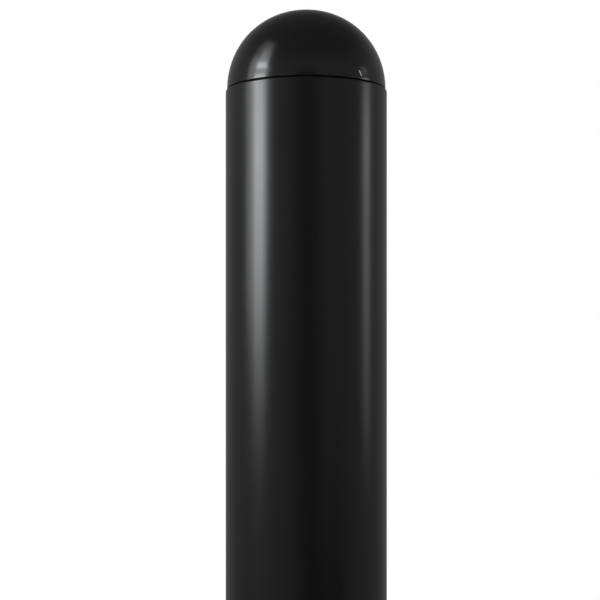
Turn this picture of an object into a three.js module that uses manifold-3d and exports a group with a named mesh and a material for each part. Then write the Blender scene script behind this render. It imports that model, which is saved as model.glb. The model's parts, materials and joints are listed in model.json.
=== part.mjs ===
// Lift-assisted retractable bollard: a domed steel post that slides down into a ground sleeve.
// Millimetres, +Z up. The origin is on the post's axis at finished grade, and -Y is the front.
// The post is drawn raised, with the lid folded open behind it and the lock withdrawn.
import * as THREE from "three";
import { mergeVertices } from "three/addons/utils/BufferGeometryUtils.js";
import Module from "manifold-3d";

const wasm = await Module();
wasm.setup();

// ---------- Clearances ----------
const FIT = 0.3; // between pieces that are fixed together
const RUN = 0.4; // between pieces that slide or turn

// ---------- Post ----------
const POST_OD = 114.3; // outer diameter of the post tube
const POST_WALL = 4.5;
const POST_HEIGHT = 914; // dome top above grade, raised
const POST_EMBED = 250; // tube left below grade, raised
const TUBE_EDGE = 1.2; // rounding of the tube's top outer edge

// ---------- Dome cap ----------
const DOME_RISE = 55.8; // dome height above the seam
const DOME_INSET = 0.95; // the dome's foot stands this far inside the tube's outer face
const DOME_POWER = 2.05; // superellipse exponent of the dome, 2 being a true ellipse
const DOME_WALL = 5;
const SEAM_GAP = 0.8; // shadow gap between dome and tube
const SPIGOT_DEPTH = 28;
const SPIGOT_WALL = 5;
const SPIGOT_PLAY = 1.6; // between the spigot's core and the tube's bore
const SPIGOT_RIBS = 12; // press ribs round the spigot
const SPIGOT_RIB_WIDTH = 3;
const O_RING_R = 1.7; // radius of the cap ring's section
const O_RING_DROP = 9; // ring's centre below the tube's top

// ---------- Ground sleeve ----------
const SLEEVE_CLEAR = 7.7; // radial space between post and sleeve bore
const SLEEVE_WALL = 5;
const WIPER_THICK = 6;
const BUSH_RUN = 0.5; // radial clearance of the upper guide bush on the post
const BUSH_LENGTH = 42;
const STOP_THICK = 8; // stop ring that the guide shoe meets when raised
const STOP_GAP = 1.1; // radial clearance of the stop ring on the post
const RAIL_WIDTH = 8; // anti-turn rail
const RAIL_DEPTH = 4.5;
const RAIL_SEAT = 0.9; // weld gap between the flat rail and the round wall

// ---------- Guide shoe and foot ----------
const SHOE_HEIGHT = 34;
const SHOE_RUN = 0.6; // radial clearance of the shoe in the sleeve
const FOOT_THICK = 6;
const FOOT_LEDGE = 16.5; // foot plate inside the tube's bore
const SHOE_SCREWS = 4;
const SHOE_SCREW_R = 2;
const SHOE_SCREW_LENGTH = 22;
const SHOE_SCREW_EDGE = 0.6; // foot plate left outside a screw head

// ---------- Lid, frame and collar ----------
const LID_THICK = 6;
const GASKET_THICK = 3.5;
const GASKET_WIDTH = 6;
const GASKET_GAP = 1.5; // between retainer ring and gasket loop
const LID_MARGIN = 5; // lid outside the gasket
const LID_GAP = 2; // between lid and frame recess
const LID_CORNER = 6;
const SLOT_LENGTH = 32; // lifting slot in the lid
const SLOT_WIDTH = 9;
const SLOT_BORDER = 6; // metal on each side of the slot
const PLATE_THICK = 8; // collar plate
const RIM_SIDE = 26; // frame width beside the recess
const RIM_REAR = 16; // frame behind the hinge pocket
const RIM_CORNER = 8;
const DOME_CLEAR = 8; // between the closed lid and the lowered dome
const RETAINER_THICK = 2;
const RETAINER_LAP = 10; // retainer ring over the collar plate
const RETAINER_GAP = 1.5; // retainer ring round the post
const RETAINER_SCREWS = 4;
const RETAINER_SCREW_R = 2.5;
const RETAINER_HEAD_R = 4.2;
const RETAINER_SCREW_LENGTH = 9;

// ---------- Hinge ----------
const HINGE_RISE = 0.5; // hinge axis above grade
const HINGE_GAP = 4; // between the lid's rear edge and the knuckles
const PIN_R = 4;
const KNUCKLE_R = 6.5;
const KNUCKLE_LENGTH = 58; // the lid's knuckle
const LUG_LENGTH = 26; // each frame lug
const KNUCKLE_END_GAP = 1; // end float between knuckle and lugs
const PIN_HEAD_R = 5.8;
const PIN_HEAD_THICK = 2.5;
const POCKET_GAP = 2; // frame pocket round the knuckles
const LID_OPEN = Math.PI; // the lid folds right back

// ---------- Lock ----------
const BOLT_WIDTH = 16;
const BOLT_HEIGHT = 14;
const BOLT_STANDOFF = 1.5; // withdrawn bolt tip to post
const BOLT_BITE = 5; // thrown bolt tip past the tube's inner face
const BOLT_NOSE = 1.5; // chamfer on the bolt's tip
const WINDOW_GAP = 1; // windows round the bolt
const TAIL_HALF = 15; // half the width of the bolt's tail
const TAIL_BORDER = 6.5; // metal on each side of the tail's slot
const KEEPER_THICK = 5.2; // bearing plate over the bolt's tail
const CASE_WALL = 4;
const CASE_EAR = 14; // screw ear on each side of the lock case
const CASE_EAR_LENGTH = 24;
const CASE_EAR_THICK = 5;
const CASE_SCREW_R = 3;
const CASE_SCREW_HEAD_R = 5.4;
const CASE_SCREW_HEAD = 5;
const CASE_SCREW_THREAD = 5; // screw's length inside the collar plate
const BARREL_SKIRT = 0.22; // barrel outside the crank pin
const BARREL_LIP = 3; // barrel head past the barrel
const BARREL_HEAD_THICK = 4.4;
const BARREL_SINK = 0.6; // barrel head below grade
const BARREL_BORDER = 4; // frame between recess and barrel
const CRANK_R = 3; // crank pin under the barrel
const CRANK_GAP = 0.6; // crank pin in the bolt's slot
const CLIP_THICK = 1.6;
const CLIP_GRIP = 1; // how deep the clip sits in the barrel's groove
const CLIP_WIDTH = 3.2;
const KEY_SOCKET_R = 6.5; // corner radius of the triangular key socket
const KEY_SOCKET_DEPTH = 9;
const FRONT_BORDER = 12; // frame in front of the barrel

// ---------- Key cover ----------
const COVER_THICK = 2;
const COVER_LAP = 2; // cover past the barrel head
const COVER_REACH = 27; // pivot to barrel axis
const COVER_EYE_R = 7;
const RIVET_R = 2.5;
const RIVET_HEAD_R = 5;
const RIVET_HEAD_RISE = 2;

// ---------- Gas strut ----------
const ROD_R = 7;
const CYLINDER_R = 15;
const CYLINDER_WALL = 2.5;
const CYLINDER_CAP = 12;
const GLAND_LENGTH = 15;
const PISTON_LENGTH = 15;
const PISTON_GAP = 3; // piston above the gland, raised
const STRUT_SPARE = 12; // bore left above the piston, lowered
const STRUT_END_GAP = 11; // cylinder above the rod eye, lowered
const BULKHEAD_THICK = 10;
const STUD_R = 7;
const STUD_LENGTH = 32;
const WASHER_R = 15;
const WASHER_THICK = 2.5;
const NUT_R = 12.7; // corner radius of the nut
const NUT_THICK = 11;
const EYE_R = 11;
const EYE_THICK = 12;
const EYE_NECK_R = 9;
const EYE_WEB = 16; // width of the flat between eye and neck
const EYE_NECK = 26; // neck's top above the pin
const CLEVIS_RISE = 24; // pin axis above the base plate
const CLEVIS_EAR = 6;
const CLEVIS_DEPTH = 24;
const CLEVIS_BASE = 8;
const CLEVIS_PIN_R = 4;
const CLEVIS_PIN_HEAD_R = 6.5;
const CLEVIS_PIN_END = 6; // pin past the ear

// ---------- Base ----------
const BUFFER_THICK = 12;
const BUFFER_WIDTH = 17;
const LANDING_GAP = 0.5; // foot plate above the buffer, lowered
const BASE_THICK = 10;
const FLANGE_THICK = 8;
const FLANGE_WIDTH = 26;
const BASE_BOLTS = 4;
const BASE_BOLT_R = 5;
const BASE_BOLT_HEAD_R = 9.2;
const BASE_BOLT_HEAD = 6.4;
const DRAIN_RISE = 34; // drain axis above the base plate
const DRAIN_R = 16.5;
const DRAIN_BORE_R = 12.5;
const DRAIN_LENGTH = 34;

// ---------- Anchors ----------
const ANCHOR_R = 5;
const ANCHOR_INSET = 20; // bar axis inside the frame's edges
const ANCHOR_DROP = 130;
const ANCHOR_BEND_R = 22;
const ANCHOR_FOOT = 34; // straight foot after the bend

// ---------- Facets ----------
const ROUND = 32; // sides of a large round piece
const ROUND_SMALL = 16;
const ROUND_TINY = 10;
const DOME_STEPS = 9;
const DOME_STEPS_INSIDE = 5;

// ---------- Worked-out sizes ----------
const POST_R = POST_OD / 2;
const POST_BORE_R = POST_R - POST_WALL;
const SLEEVE_BORE_R = POST_R + SLEEVE_CLEAR;
const SLEEVE_R = SLEEVE_BORE_R + SLEEVE_WALL;
const TRAVEL = POST_HEIGHT + LID_THICK + DOME_CLEAR;
const DOME_FOOT = POST_HEIGHT - DOME_RISE;
const TUBE_TOP = DOME_FOOT - SEAM_GAP;
const SPIGOT_R = POST_BORE_R - SPIGOT_PLAY;

const COLLAR_TOP = -(LID_THICK + GASKET_THICK + FIT);
const COLLAR_BOTTOM = COLLAR_TOP - PLATE_THICK;
const BUSH_TOP = COLLAR_TOP - WIPER_THICK - FIT;
const SHOE_TOP = -POST_EMBED + SHOE_HEIGHT;
const SHOE_R = SLEEVE_BORE_R - SHOE_RUN;
const FOOT_TOP = -POST_EMBED - FIT;
const FOOT_BOTTOM = FOOT_TOP - FOOT_THICK;
const BASE_TOP = FOOT_BOTTOM - TRAVEL - LANDING_GAP - BUFFER_THICK - FIT;
const BASE_R = SLEEVE_R + FLANGE_WIDTH;
const RAIL_X = SLEEVE_BORE_R - RAIL_SEAT; // outer face of the rail
const FOOT_HOLE_R = POST_BORE_R - FOOT_LEDGE;
const BUFFER_R = RAIL_X - RAIL_DEPTH - RUN;
const SHOE_SCREW_CIRCLE = (POST_R + FIT + SHOE_R) / 2;
const SHOE_HEAD_R = (SHOE_R - POST_R - FIT) / 2 - SHOE_SCREW_EDGE;

const RETAINER_R = SLEEVE_R + RETAINER_LAP;
const RETAINER_SCREW_CIRCLE = SLEEVE_R + RETAINER_LAP / 2;
const GASKET_HALF = RETAINER_R + GASKET_GAP; // inside of the gasket loop
const LID_HALF = GASKET_HALF + GASKET_WIDTH + LID_MARGIN;
const SLOT_Y = -(GASKET_HALF + GASKET_WIDTH + SLOT_BORDER + SLOT_WIDTH / 2);
const LID_FRONT = SLOT_Y - SLOT_WIDTH / 2 - SLOT_BORDER;
const STROKE = BOLT_STANDOFF + POST_WALL + BOLT_BITE;
const CRANK_THROW = STROKE / Math.SQRT2; // the crank turns 45 degrees each side of square
const BARREL_R = CRANK_THROW + CRANK_R + BARREL_SKIRT;
const BARREL_HEAD_R = BARREL_R + BARREL_LIP;
const HINGE_Y = LID_HALF + HINGE_GAP + KNUCKLE_R;
const FRAME_HALF = LID_HALF + LID_GAP + RIM_SIDE;
const FRAME_REAR = HINGE_Y + KNUCKLE_R + POCKET_GAP + RIM_REAR;
const LUG_START = KNUCKLE_LENGTH / 2 + KNUCKLE_END_GAP;
const LUG_END = LUG_START + LUG_LENGTH;
const BARREL_Y = LID_FRONT - LID_GAP - BARREL_BORDER - BARREL_HEAD_R;
const FRAME_FRONT = BARREL_Y - BARREL_HEAD_R - FRONT_BORDER;

const BOLT_TOP = COLLAR_BOTTOM - FIT - KEEPER_THICK - RUN;
const BOLT_BOTTOM = BOLT_TOP - BOLT_HEIGHT;
const BOLT_TIP = -(POST_R + BOLT_STANDOFF);
const BOLT_SLOT_Y = BARREL_Y - STROKE / 2;
const BOLT_SLOT_HALF = CRANK_R + CRANK_GAP;
const TAIL_FRONT = BOLT_SLOT_Y + BOLT_SLOT_HALF + TAIL_BORDER;
const TAIL_REAR = BOLT_SLOT_Y - BOLT_SLOT_HALF - TAIL_BORDER;
const POCKET_FRONT = TAIL_FRONT + STROKE + WINDOW_GAP;
const POCKET_REAR = TAIL_REAR - WINDOW_GAP;
const CASE_BOTTOM = BOLT_BOTTOM - RUN - CASE_WALL;
const CASE_HALF = TAIL_HALF + RUN + CASE_WALL;
const CASE_SCREW_X = CASE_HALF + CASE_EAR / 2;
const CASE_SCREW_PLACES = [[CASE_SCREW_X, BARREL_Y], [-CASE_SCREW_X, BARREL_Y]];

const CLEVIS_PIN_Z = BASE_TOP + CLEVIS_RISE;
const EYE_NECK_TOP = CLEVIS_PIN_Z + EYE_NECK;
const CYLINDER_BOTTOM = EYE_NECK_TOP + STRUT_END_GAP + TRAVEL;
const PISTON_BOTTOM = CYLINDER_BOTTOM + GLAND_LENGTH + PISTON_GAP;
const CYLINDER_BORE_R = CYLINDER_R - CYLINDER_WALL;
const CYLINDER_BORE_TOP = PISTON_BOTTOM + PISTON_LENGTH + TRAVEL + STRUT_SPARE;
const CYLINDER_TOP = CYLINDER_BORE_TOP + CYLINDER_CAP;
const BULKHEAD_TOP = CYLINDER_TOP + FIT + BULKHEAD_THICK;
const CLEVIS_HALF = EYE_THICK / 2 + RUN + CLEVIS_EAR;

// ---------- Materials ----------
function finish(color, roughness, metalness) {
  return new THREE.MeshStandardMaterial({ color, roughness, metalness });
}
const BLACK_PAINT = finish(0x1a1a1b, 0.32, 0.0);
const BLACK_CAP = finish(0x1b1b1c, 0.24, 0.0);
const GALVANISED = finish(0x9aa0a3, 0.45, 0.9);
const STAINLESS = finish(0xb4b6b8, 0.3, 1.0);
const RUBBER = finish(0x151515, 0.85, 0.0);
const NYLON = finish(0x2a2b2d, 0.5, 0.0);
const CHROME = finish(0xd8dadc, 0.08, 1.0);
const BRASS = finish(0xb08d4c, 0.3, 1.0);

// ---------- Shape helpers ----------

// A solid of revolution about Z from a closed [radius, z] outline.
function revolve(outline, sides = ROUND) {
  const points = outline.map(([radius, z]) => new THREE.Vector2(radius, z));
  if (THREE.ShapeUtils.area(points) < 0) points.reverse();
  const closed = points.some((point) => point.x === 0);
  if (closed) {
    while (points[0].x !== 0 || points.at(-1).x !== 0) points.push(points.shift());
  } else {
    points.push(points[0].clone());
  }
  return new THREE.LatheGeometry(points, sides).rotateX(Math.PI / 2);
}

// A ring or disc with square edges, between two heights.
function ring(inner, outer, bottom, top, sides = ROUND) {
  return revolve([[inner, bottom], [outer, bottom], [outer, top], [inner, top]], sides);
}

// An upright round bar between two heights.
function bar(radius, bottom, top, sides = ROUND_SMALL) {
  const height = top - bottom;
  const geometry = new THREE.CylinderGeometry(radius, radius, height, sides);
  return geometry.rotateX(Math.PI / 2).translate(0, 0, bottom + height / 2);
}

// A round bar along X between two ends, centred on Y and Z.
function crossBar(radius, left, right, sides = ROUND_SMALL) {
  return bar(radius, left, right, sides).rotateY(Math.PI / 2);
}

// A box between two corners.
function block(from, to) {
  const [x0, y0, z0] = from;
  const [x1, y1, z1] = to;
  const geometry = new THREE.BoxGeometry(x1 - x0, y1 - y0, z1 - z0);
  return geometry.translate((x0 + x1) / 2, (y0 + y1) / 2, (z0 + z1) / 2);
}

// A flat outline drawn up from one height to another.
function slab(shape, bottom, top, steps = 4) {
  const options = { depth: top - bottom, bevelEnabled: false, curveSegments: steps };
  return new THREE.ExtrudeGeometry(shape, options).translate(0, 0, bottom);
}

// A rectangle with rounded corners.
function roundedRectangle(x0, x1, y0, y1, radius) {
  const shape = new THREE.Shape();
  shape.moveTo(x0 + radius, y0);
  shape.lineTo(x1 - radius, y0);
  shape.absarc(x1 - radius, y0 + radius, radius, -Math.PI / 2, 0);
  shape.lineTo(x1, y1 - radius);
  shape.absarc(x1 - radius, y1 - radius, radius, 0, Math.PI / 2);
  shape.lineTo(x0 + radius, y1);
  shape.absarc(x0 + radius, y1 - radius, radius, Math.PI / 2, Math.PI);
  shape.lineTo(x0, y0 + radius);
  shape.absarc(x0 + radius, y0 + radius, radius, Math.PI, 1.5 * Math.PI);
  return shape;
}

// A C-shaped retaining ring with a gap on its -Y side.
function clipRing(inner, outer, bottom, top) {
  const gap = 0.45;
  const start = -Math.PI / 2 + gap;
  const end = 1.5 * Math.PI - gap;
  const shape = new THREE.Shape();
  shape.absarc(0, 0, outer, start, end, false);
  shape.absarc(0, 0, inner, end, start, true);
  return slab(shape, bottom, top, 10);
}

function toSolid(geometry) {
  const bare = geometry.clone();
  bare.deleteAttribute("normal");
  bare.deleteAttribute("uv");
  const merged = mergeVertices(bare, 1e-3);
  const vertProperties = merged.attributes.position.array;
  const triVerts = new Uint32Array(merged.index.array);
  return new wasm.Manifold(new wasm.Mesh({ numProp: 3, vertProperties, triVerts }));
}

function toGeometry(solid) {
  const mesh = solid.getMesh();
  const geometry = new THREE.BufferGeometry();
  geometry.setAttribute("position", new THREE.BufferAttribute(mesh.vertProperties, 3));
  geometry.setIndex(new THREE.BufferAttribute(mesh.triVerts, 1));
  geometry.computeVertexNormals();
  return geometry;
}

function cut(geometry, ...tools) {
  const solid = tools.reduce((left, tool) => left.subtract(toSolid(tool)), toSolid(geometry));
  return toGeometry(solid);
}

function join(geometry, ...others) {
  const solid = others.reduce((whole, other) => whole.add(toSolid(other)), toSolid(geometry));
  return toGeometry(solid);
}

// The angles of count places evenly spaced round a circle, the first at an eighth of a turn.
function roundAngles(count, first = Math.PI / 4) {
  return Array.from({ length: count }, (_, i) => first + (i * 2 * Math.PI) / count);
}

function circlePlaces(count, radius) {
  return roundAngles(count).map((a) => [radius * Math.cos(a), radius * Math.sin(a)]);
}

// Upright holes through a plate, at [x, y] places.
function holes(places, radius, bottom, top) {
  return places.map(([x, y]) => bar(radius, bottom - 1, top + 1, ROUND_TINY).translate(x, y, 0));
}

// The window that a slid bolt needs through a wall on the front side, between two radii.
function boltWindow(innerR, outerR) {
  const half = BOLT_WIDTH / 2 + WINDOW_GAP;
  const bottom = BOLT_BOTTOM - WINDOW_GAP;
  const top = BOLT_TOP + WINDOW_GAP;
  return block([-half, -outerR, bottom], [half, -innerR, top]);
}

// The slot in the shoe and foot plate that rides on the rail, on the -X side.
function railSlot(bottom, top) {
  const half = RAIL_WIDTH / 2 + SHOE_RUN;
  const inner = RAIL_X - RAIL_DEPTH - SHOE_RUN;
  return block([-SLEEVE_R, -half, bottom - 1], [-inner, half, top + 1]);
}

// ---------- Post pieces ----------

function postTube() {
  const rounding = [0, 30, 60, 90].map((degrees) => {
    const a = THREE.MathUtils.degToRad(degrees);
    const radius = POST_R - TUBE_EDGE * (1 - Math.cos(a));
    return [radius, TUBE_TOP - TUBE_EDGE * (1 - Math.sin(a))];
  });
  const inner = [[POST_BORE_R, TUBE_TOP], [POST_BORE_R, -POST_EMBED]];
  const tube = revolve([[POST_R, -POST_EMBED], ...rounding, ...inner]);
  return cut(tube, boltWindow(POST_BORE_R / 2, POST_R + 1));
}

// A quarter superellipse from the foot at [radius, 0] to the crown at [0, rise].
function domeCurve(radius, rise, steps) {
  return Array.from({ length: steps + 1 }, (_, i) => {
    const a = (i / steps) * (Math.PI / 2);
    const power = 2 / DOME_POWER;
    const r = i === steps ? 0 : radius * Math.cos(a) ** power;
    return [r, rise * Math.sin(a) ** power];
  });
}

function domeCap() {
  const bottom = -SEAM_GAP - SPIGOT_DEPTH;
  const grooveR = POST_BORE_R - 2 * FIT - 2 * O_RING_R;
  const grooveTop = -SEAM_GAP - O_RING_DROP + O_RING_R + FIT;
  const grooveBottom = grooveTop - 2 * (O_RING_R + FIT);
  const boreR = SPIGOT_R - SPIGOT_WALL;
  const spigot = [
    [boreR, bottom],
    [SPIGOT_R, bottom],
    [SPIGOT_R, grooveBottom],
    [grooveR, grooveBottom],
    [grooveR, grooveTop],
    [SPIGOT_R, grooveTop],
    [SPIGOT_R, 0],
  ];
  const outside = domeCurve(POST_R - DOME_INSET, DOME_RISE, DOME_STEPS);
  const inside = domeCurve(boreR, DOME_RISE - DOME_WALL, DOME_STEPS_INSIDE).reverse();
  const shell = revolve([...spigot, ...outside, ...inside]);
  const ribTop = grooveBottom - FIT;
  const ribs = roundAngles(SPIGOT_RIBS).map((angle) => {
    const half = SPIGOT_RIB_WIDTH / 2;
    const from = [SPIGOT_R - 1, -half, bottom];
    const to = [POST_BORE_R - 2 * FIT, half, ribTop];
    return block(from, to).rotateZ(angle);
  });
  return join(shell, ...ribs);
}

function capRing() {
  const centreR = POST_BORE_R - FIT - O_RING_R;
  const section = roundAngles(6).map((a) => {
    return [centreR + O_RING_R * Math.cos(a), O_RING_R * Math.sin(a)];
  });
  return revolve(section);
}

function strutBulkhead() {
  const disc = bar(POST_BORE_R - FIT, CYLINDER_TOP + FIT, BULKHEAD_TOP, ROUND);
  return cut(disc, bar(STUD_R + FIT, CYLINDER_TOP, BULKHEAD_TOP + 1));
}

function strutCylinder() {
  const outline = [
    [CYLINDER_BORE_R, CYLINDER_BOTTOM],
    [CYLINDER_R, CYLINDER_BOTTOM],
    [CYLINDER_R, CYLINDER_TOP],
    [STUD_R, CYLINDER_TOP],
    [STUD_R, CYLINDER_TOP + STUD_LENGTH],
    [0, CYLINDER_TOP + STUD_LENGTH],
    [0, CYLINDER_BORE_TOP],
    [CYLINDER_BORE_R, CYLINDER_BORE_TOP],
  ];
  return revolve(outline, ROUND_SMALL);
}

function strutGland() {
  const top = CYLINDER_BOTTOM + GLAND_LENGTH;
  return ring(ROD_R + RUN, CYLINDER_BORE_R - FIT, CYLINDER_BOTTOM, top, ROUND_SMALL);
}

function strutWasher() {
  const bottom = BULKHEAD_TOP + FIT;
  return ring(STUD_R + FIT, WASHER_R, bottom, bottom + WASHER_THICK, ROUND_SMALL);
}

function strutNut() {
  const bottom = BULKHEAD_TOP + FIT + WASHER_THICK + FIT;
  const hexagon = bar(NUT_R, bottom, bottom + NUT_THICK, 6);
  return cut(hexagon, bar(STUD_R + FIT, bottom - 1, bottom + NUT_THICK + 1));
}

function footPlate() {
  const plate = ring(FOOT_HOLE_R, SHOE_R, FOOT_BOTTOM, FOOT_TOP);
  const places = circlePlaces(SHOE_SCREWS, SHOE_SCREW_CIRCLE);
  const seats = places.map(([x, y]) => {
    const seat = bar(SHOE_HEAD_R + FIT, FOOT_BOTTOM - 1, FOOT_BOTTOM + SHOE_HEAD_R, ROUND_TINY);
    return seat.translate(x, y, 0);
  });
  const bores = holes(places, SHOE_SCREW_R + FIT, FOOT_BOTTOM, FOOT_TOP);
  return cut(plate, railSlot(FOOT_BOTTOM, FOOT_TOP), ...bores, ...seats);
}

function guideShoe() {
  const shoe = ring(POST_R + FIT, SHOE_R, -POST_EMBED, SHOE_TOP);
  const top = FOOT_BOTTOM + SHOE_SCREW_LENGTH;
  const places = circlePlaces(SHOE_SCREWS, SHOE_SCREW_CIRCLE);
  const bores = holes(places, SHOE_SCREW_R + FIT, -POST_EMBED, top);
  return cut(shoe, railSlot(-POST_EMBED, SHOE_TOP), ...bores);
}

// A screw with its head down, standing on Z 0.
function shoeScrew() {
  const outline = [
    [0, 0],
    [SHOE_HEAD_R, 0],
    [SHOE_HEAD_R, SHOE_HEAD_R - FIT],
    [SHOE_SCREW_R, SHOE_HEAD_R - FIT],
    [SHOE_SCREW_R, SHOE_SCREW_LENGTH],
    [0, SHOE_SCREW_LENGTH],
  ];
  return revolve(outline, ROUND_TINY);
}

// ---------- Ground sleeve pieces ----------

function drainBar(radius, from, to) {
  return crossBar(radius, from, to).translate(0, 0, BASE_TOP + DRAIN_RISE);
}

function sleeveTube() {
  const tube = ring(SLEEVE_BORE_R, SLEEVE_R, BASE_TOP + FIT, COLLAR_TOP);
  const drain = drainBar(DRAIN_BORE_R, SLEEVE_BORE_R - 10, SLEEVE_R + 10);
  return cut(tube, boltWindow(POST_R, SLEEVE_R + 1), drain);
}

function drainSocket() {
  const end = SLEEVE_R + DRAIN_LENGTH;
  const pipe = drainBar(DRAIN_R, SLEEVE_BORE_R, end);
  const wall = bar(SLEEVE_R + FIT, BASE_TOP - 1, BASE_TOP + 4 * DRAIN_RISE, ROUND);
  return cut(pipe, drainBar(DRAIN_BORE_R, SLEEVE_BORE_R - 1, end + 1), wall);
}

function collarPlate() {
  const outline = roundedRectangle(-FRAME_HALF, FRAME_HALF, FRAME_FRONT, FRAME_REAR, RIM_CORNER);
  const mouth = bar(SLEEVE_R + FIT, COLLAR_BOTTOM - 1, COLLAR_TOP + 1, ROUND);
  const barrel = bar(BARREL_R + RUN, COLLAR_BOTTOM - 1, COLLAR_TOP + 1).translate(0, BARREL_Y, 0);
  const places = circlePlaces(RETAINER_SCREWS, RETAINER_SCREW_CIRCLE);
  const bores = holes(places, RETAINER_SCREW_R + FIT, COLLAR_BOTTOM, COLLAR_TOP);
  const caseTop = COLLAR_BOTTOM + CASE_SCREW_THREAD;
  const caseBores = holes(CASE_SCREW_PLACES, CASE_SCREW_R + FIT, COLLAR_BOTTOM, caseTop);
  return cut(slab(outline, COLLAR_BOTTOM, COLLAR_TOP), mouth, barrel, ...bores, ...caseBores);
}

function frameRim() {
  const bottom = COLLAR_TOP + FIT;
  const half = LID_HALF + LID_GAP;
  const pocketHalf = LUG_END + PIN_HEAD_THICK + POCKET_GAP;
  const pocketRear = HINGE_Y + KNUCKLE_R + POCKET_GAP;
  const outline = roundedRectangle(-FRAME_HALF, FRAME_HALF, FRAME_FRONT, FRAME_REAR, RIM_CORNER);
  const recess = roundedRectangle(-half, half, LID_FRONT - LID_GAP, half, LID_CORNER + LID_GAP);
  const pocket = block([-pocketHalf, 0, bottom - 1], [pocketHalf, pocketRear, 1]);
  const headR = BARREL_HEAD_R + RUN;
  const headSeat = bar(headR, -BARREL_SINK - BARREL_HEAD_THICK - RUN, 1).translate(0, BARREL_Y, 0);
  const barrel = bar(BARREL_R + RUN, bottom - 1, 1).translate(0, BARREL_Y, 0);
  const rivet = bar(RIVET_R + FIT, bottom - 1, 1, ROUND_TINY).translate(COVER_REACH, BARREL_Y, 0);
  const recessTool = slab(recess, bottom - 1, 1);
  return cut(slab(outline, bottom, 0), recessTool, pocket, headSeat, barrel, rivet);
}

function guideBush() {
  const bottom = BUSH_TOP - BUSH_LENGTH;
  const bush = ring(POST_R + BUSH_RUN, SLEEVE_BORE_R - FIT, bottom, BUSH_TOP);
  return cut(bush, boltWindow(POST_R - 1, SLEEVE_BORE_R + 1));
}

function wiperSeal() {
  const bottom = COLLAR_TOP - WIPER_THICK;
  const inner = POST_R + RUN;
  const outline = [
    [inner + 3, bottom],
    [SLEEVE_BORE_R - FIT, bottom],
    [SLEEVE_BORE_R - FIT, COLLAR_TOP],
    [inner + 2.2, COLLAR_TOP],
    [inner + 1, COLLAR_TOP + 2],
    [inner, COLLAR_TOP + 2],
    [inner + 1, bottom + 2],
  ];
  return revolve(outline);
}

function retainerRing() {
  const bottom = COLLAR_TOP + FIT;
  const top = bottom + RETAINER_THICK;
  const plate = ring(POST_R + RETAINER_GAP + 2, RETAINER_R, bottom, top);
  const places = circlePlaces(RETAINER_SCREWS, RETAINER_SCREW_CIRCLE);
  return cut(plate, ...holes(places, RETAINER_HEAD_R + FIT, bottom, top));
}

// A countersunk screw with its head's face at Z 0.
function retainerScrew() {
  const headBottom = -RETAINER_THICK;
  const outline = [
    [0, 0],
    [RETAINER_HEAD_R, 0],
    [RETAINER_HEAD_R, headBottom],
    [RETAINER_SCREW_R, headBottom],
    [RETAINER_SCREW_R, -RETAINER_SCREW_LENGTH],
    [0, -RETAINER_SCREW_LENGTH],
  ];
  return revolve(outline, ROUND_TINY);
}

function stopRing() {
  const bottom = SHOE_TOP + FIT;
  return ring(POST_R + STOP_GAP, SLEEVE_BORE_R - FIT, bottom, bottom + STOP_THICK);
}

function turnRail() {
  const half = RAIL_WIDTH / 2;
  const from = [-RAIL_X, -half, BASE_TOP + BUFFER_THICK];
  return block(from, [-RAIL_X + RAIL_DEPTH, half, SHOE_TOP - FIT]);
}

function baseFlange() {
  const bottom = BASE_TOP + FIT;
  const top = bottom + FLANGE_THICK;
  const plate = ring(SLEEVE_R + FIT, BASE_R, bottom, top);
  return cut(plate, ...holes(baseBoltPlaces(), BASE_BOLT_R + FIT, bottom, top));
}

function basePlate() {
  const bottom = BASE_TOP - BASE_THICK;
  const plate = bar(BASE_R, bottom, BASE_TOP, ROUND);
  return cut(plate, ...holes(baseBoltPlaces(), BASE_BOLT_R + FIT, bottom, BASE_TOP));
}

function baseBoltPlaces() {
  return circlePlaces(BASE_BOLTS, SLEEVE_R + FLANGE_WIDTH / 2);
}

// A hexagon bolt whose head stands on Z 0.
function baseBolt() {
  const length = FLANGE_THICK + 2 * FIT + BASE_THICK - 1;
  const head = bar(BASE_BOLT_HEAD_R, 0, BASE_BOLT_HEAD, 6);
  return join(head, bar(BASE_BOLT_R, -length, 1, ROUND_TINY));
}

function landingBuffer() {
  const bottom = BASE_TOP + FIT;
  const top = bottom + BUFFER_THICK;
  return ring(BUFFER_R - BUFFER_WIDTH, BUFFER_R, bottom, top);
}

// A hooked bar that hangs from Z 0 and turns its foot out along +X.
function anchorBar() {
  const bend = -ANCHOR_DROP + ANCHOR_BEND_R;
  const path = new THREE.CurvePath();
  const top = new THREE.Vector3(0, 0, 0);
  const bendStart = new THREE.Vector3(0, 0, bend);
  const corner = new THREE.Vector3(0, 0, -ANCHOR_DROP);
  const bendEnd = new THREE.Vector3(ANCHOR_BEND_R, 0, -ANCHOR_DROP);
  const tip = new THREE.Vector3(ANCHOR_BEND_R + ANCHOR_FOOT, 0, -ANCHOR_DROP);
  path.add(new THREE.LineCurve3(top, bendStart));
  path.add(new THREE.QuadraticBezierCurve3(bendStart, corner, bendEnd));
  path.add(new THREE.LineCurve3(bendEnd, tip));
  const section = new THREE.Shape().absarc(0, 0, ANCHOR_R, 0, 2 * Math.PI);
  const options = { steps: 12, extrudePath: path, curveSegments: 4 };
  return new THREE.ExtrudeGeometry(section, options);
}

// ---------- Lid and hinge pieces ----------

// Lid pieces are drawn closed, and moved so that the hinge axis is at their own origin.
function fromHinge(geometry) {
  return geometry.translate(0, -HINGE_Y, -HINGE_RISE);
}

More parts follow.
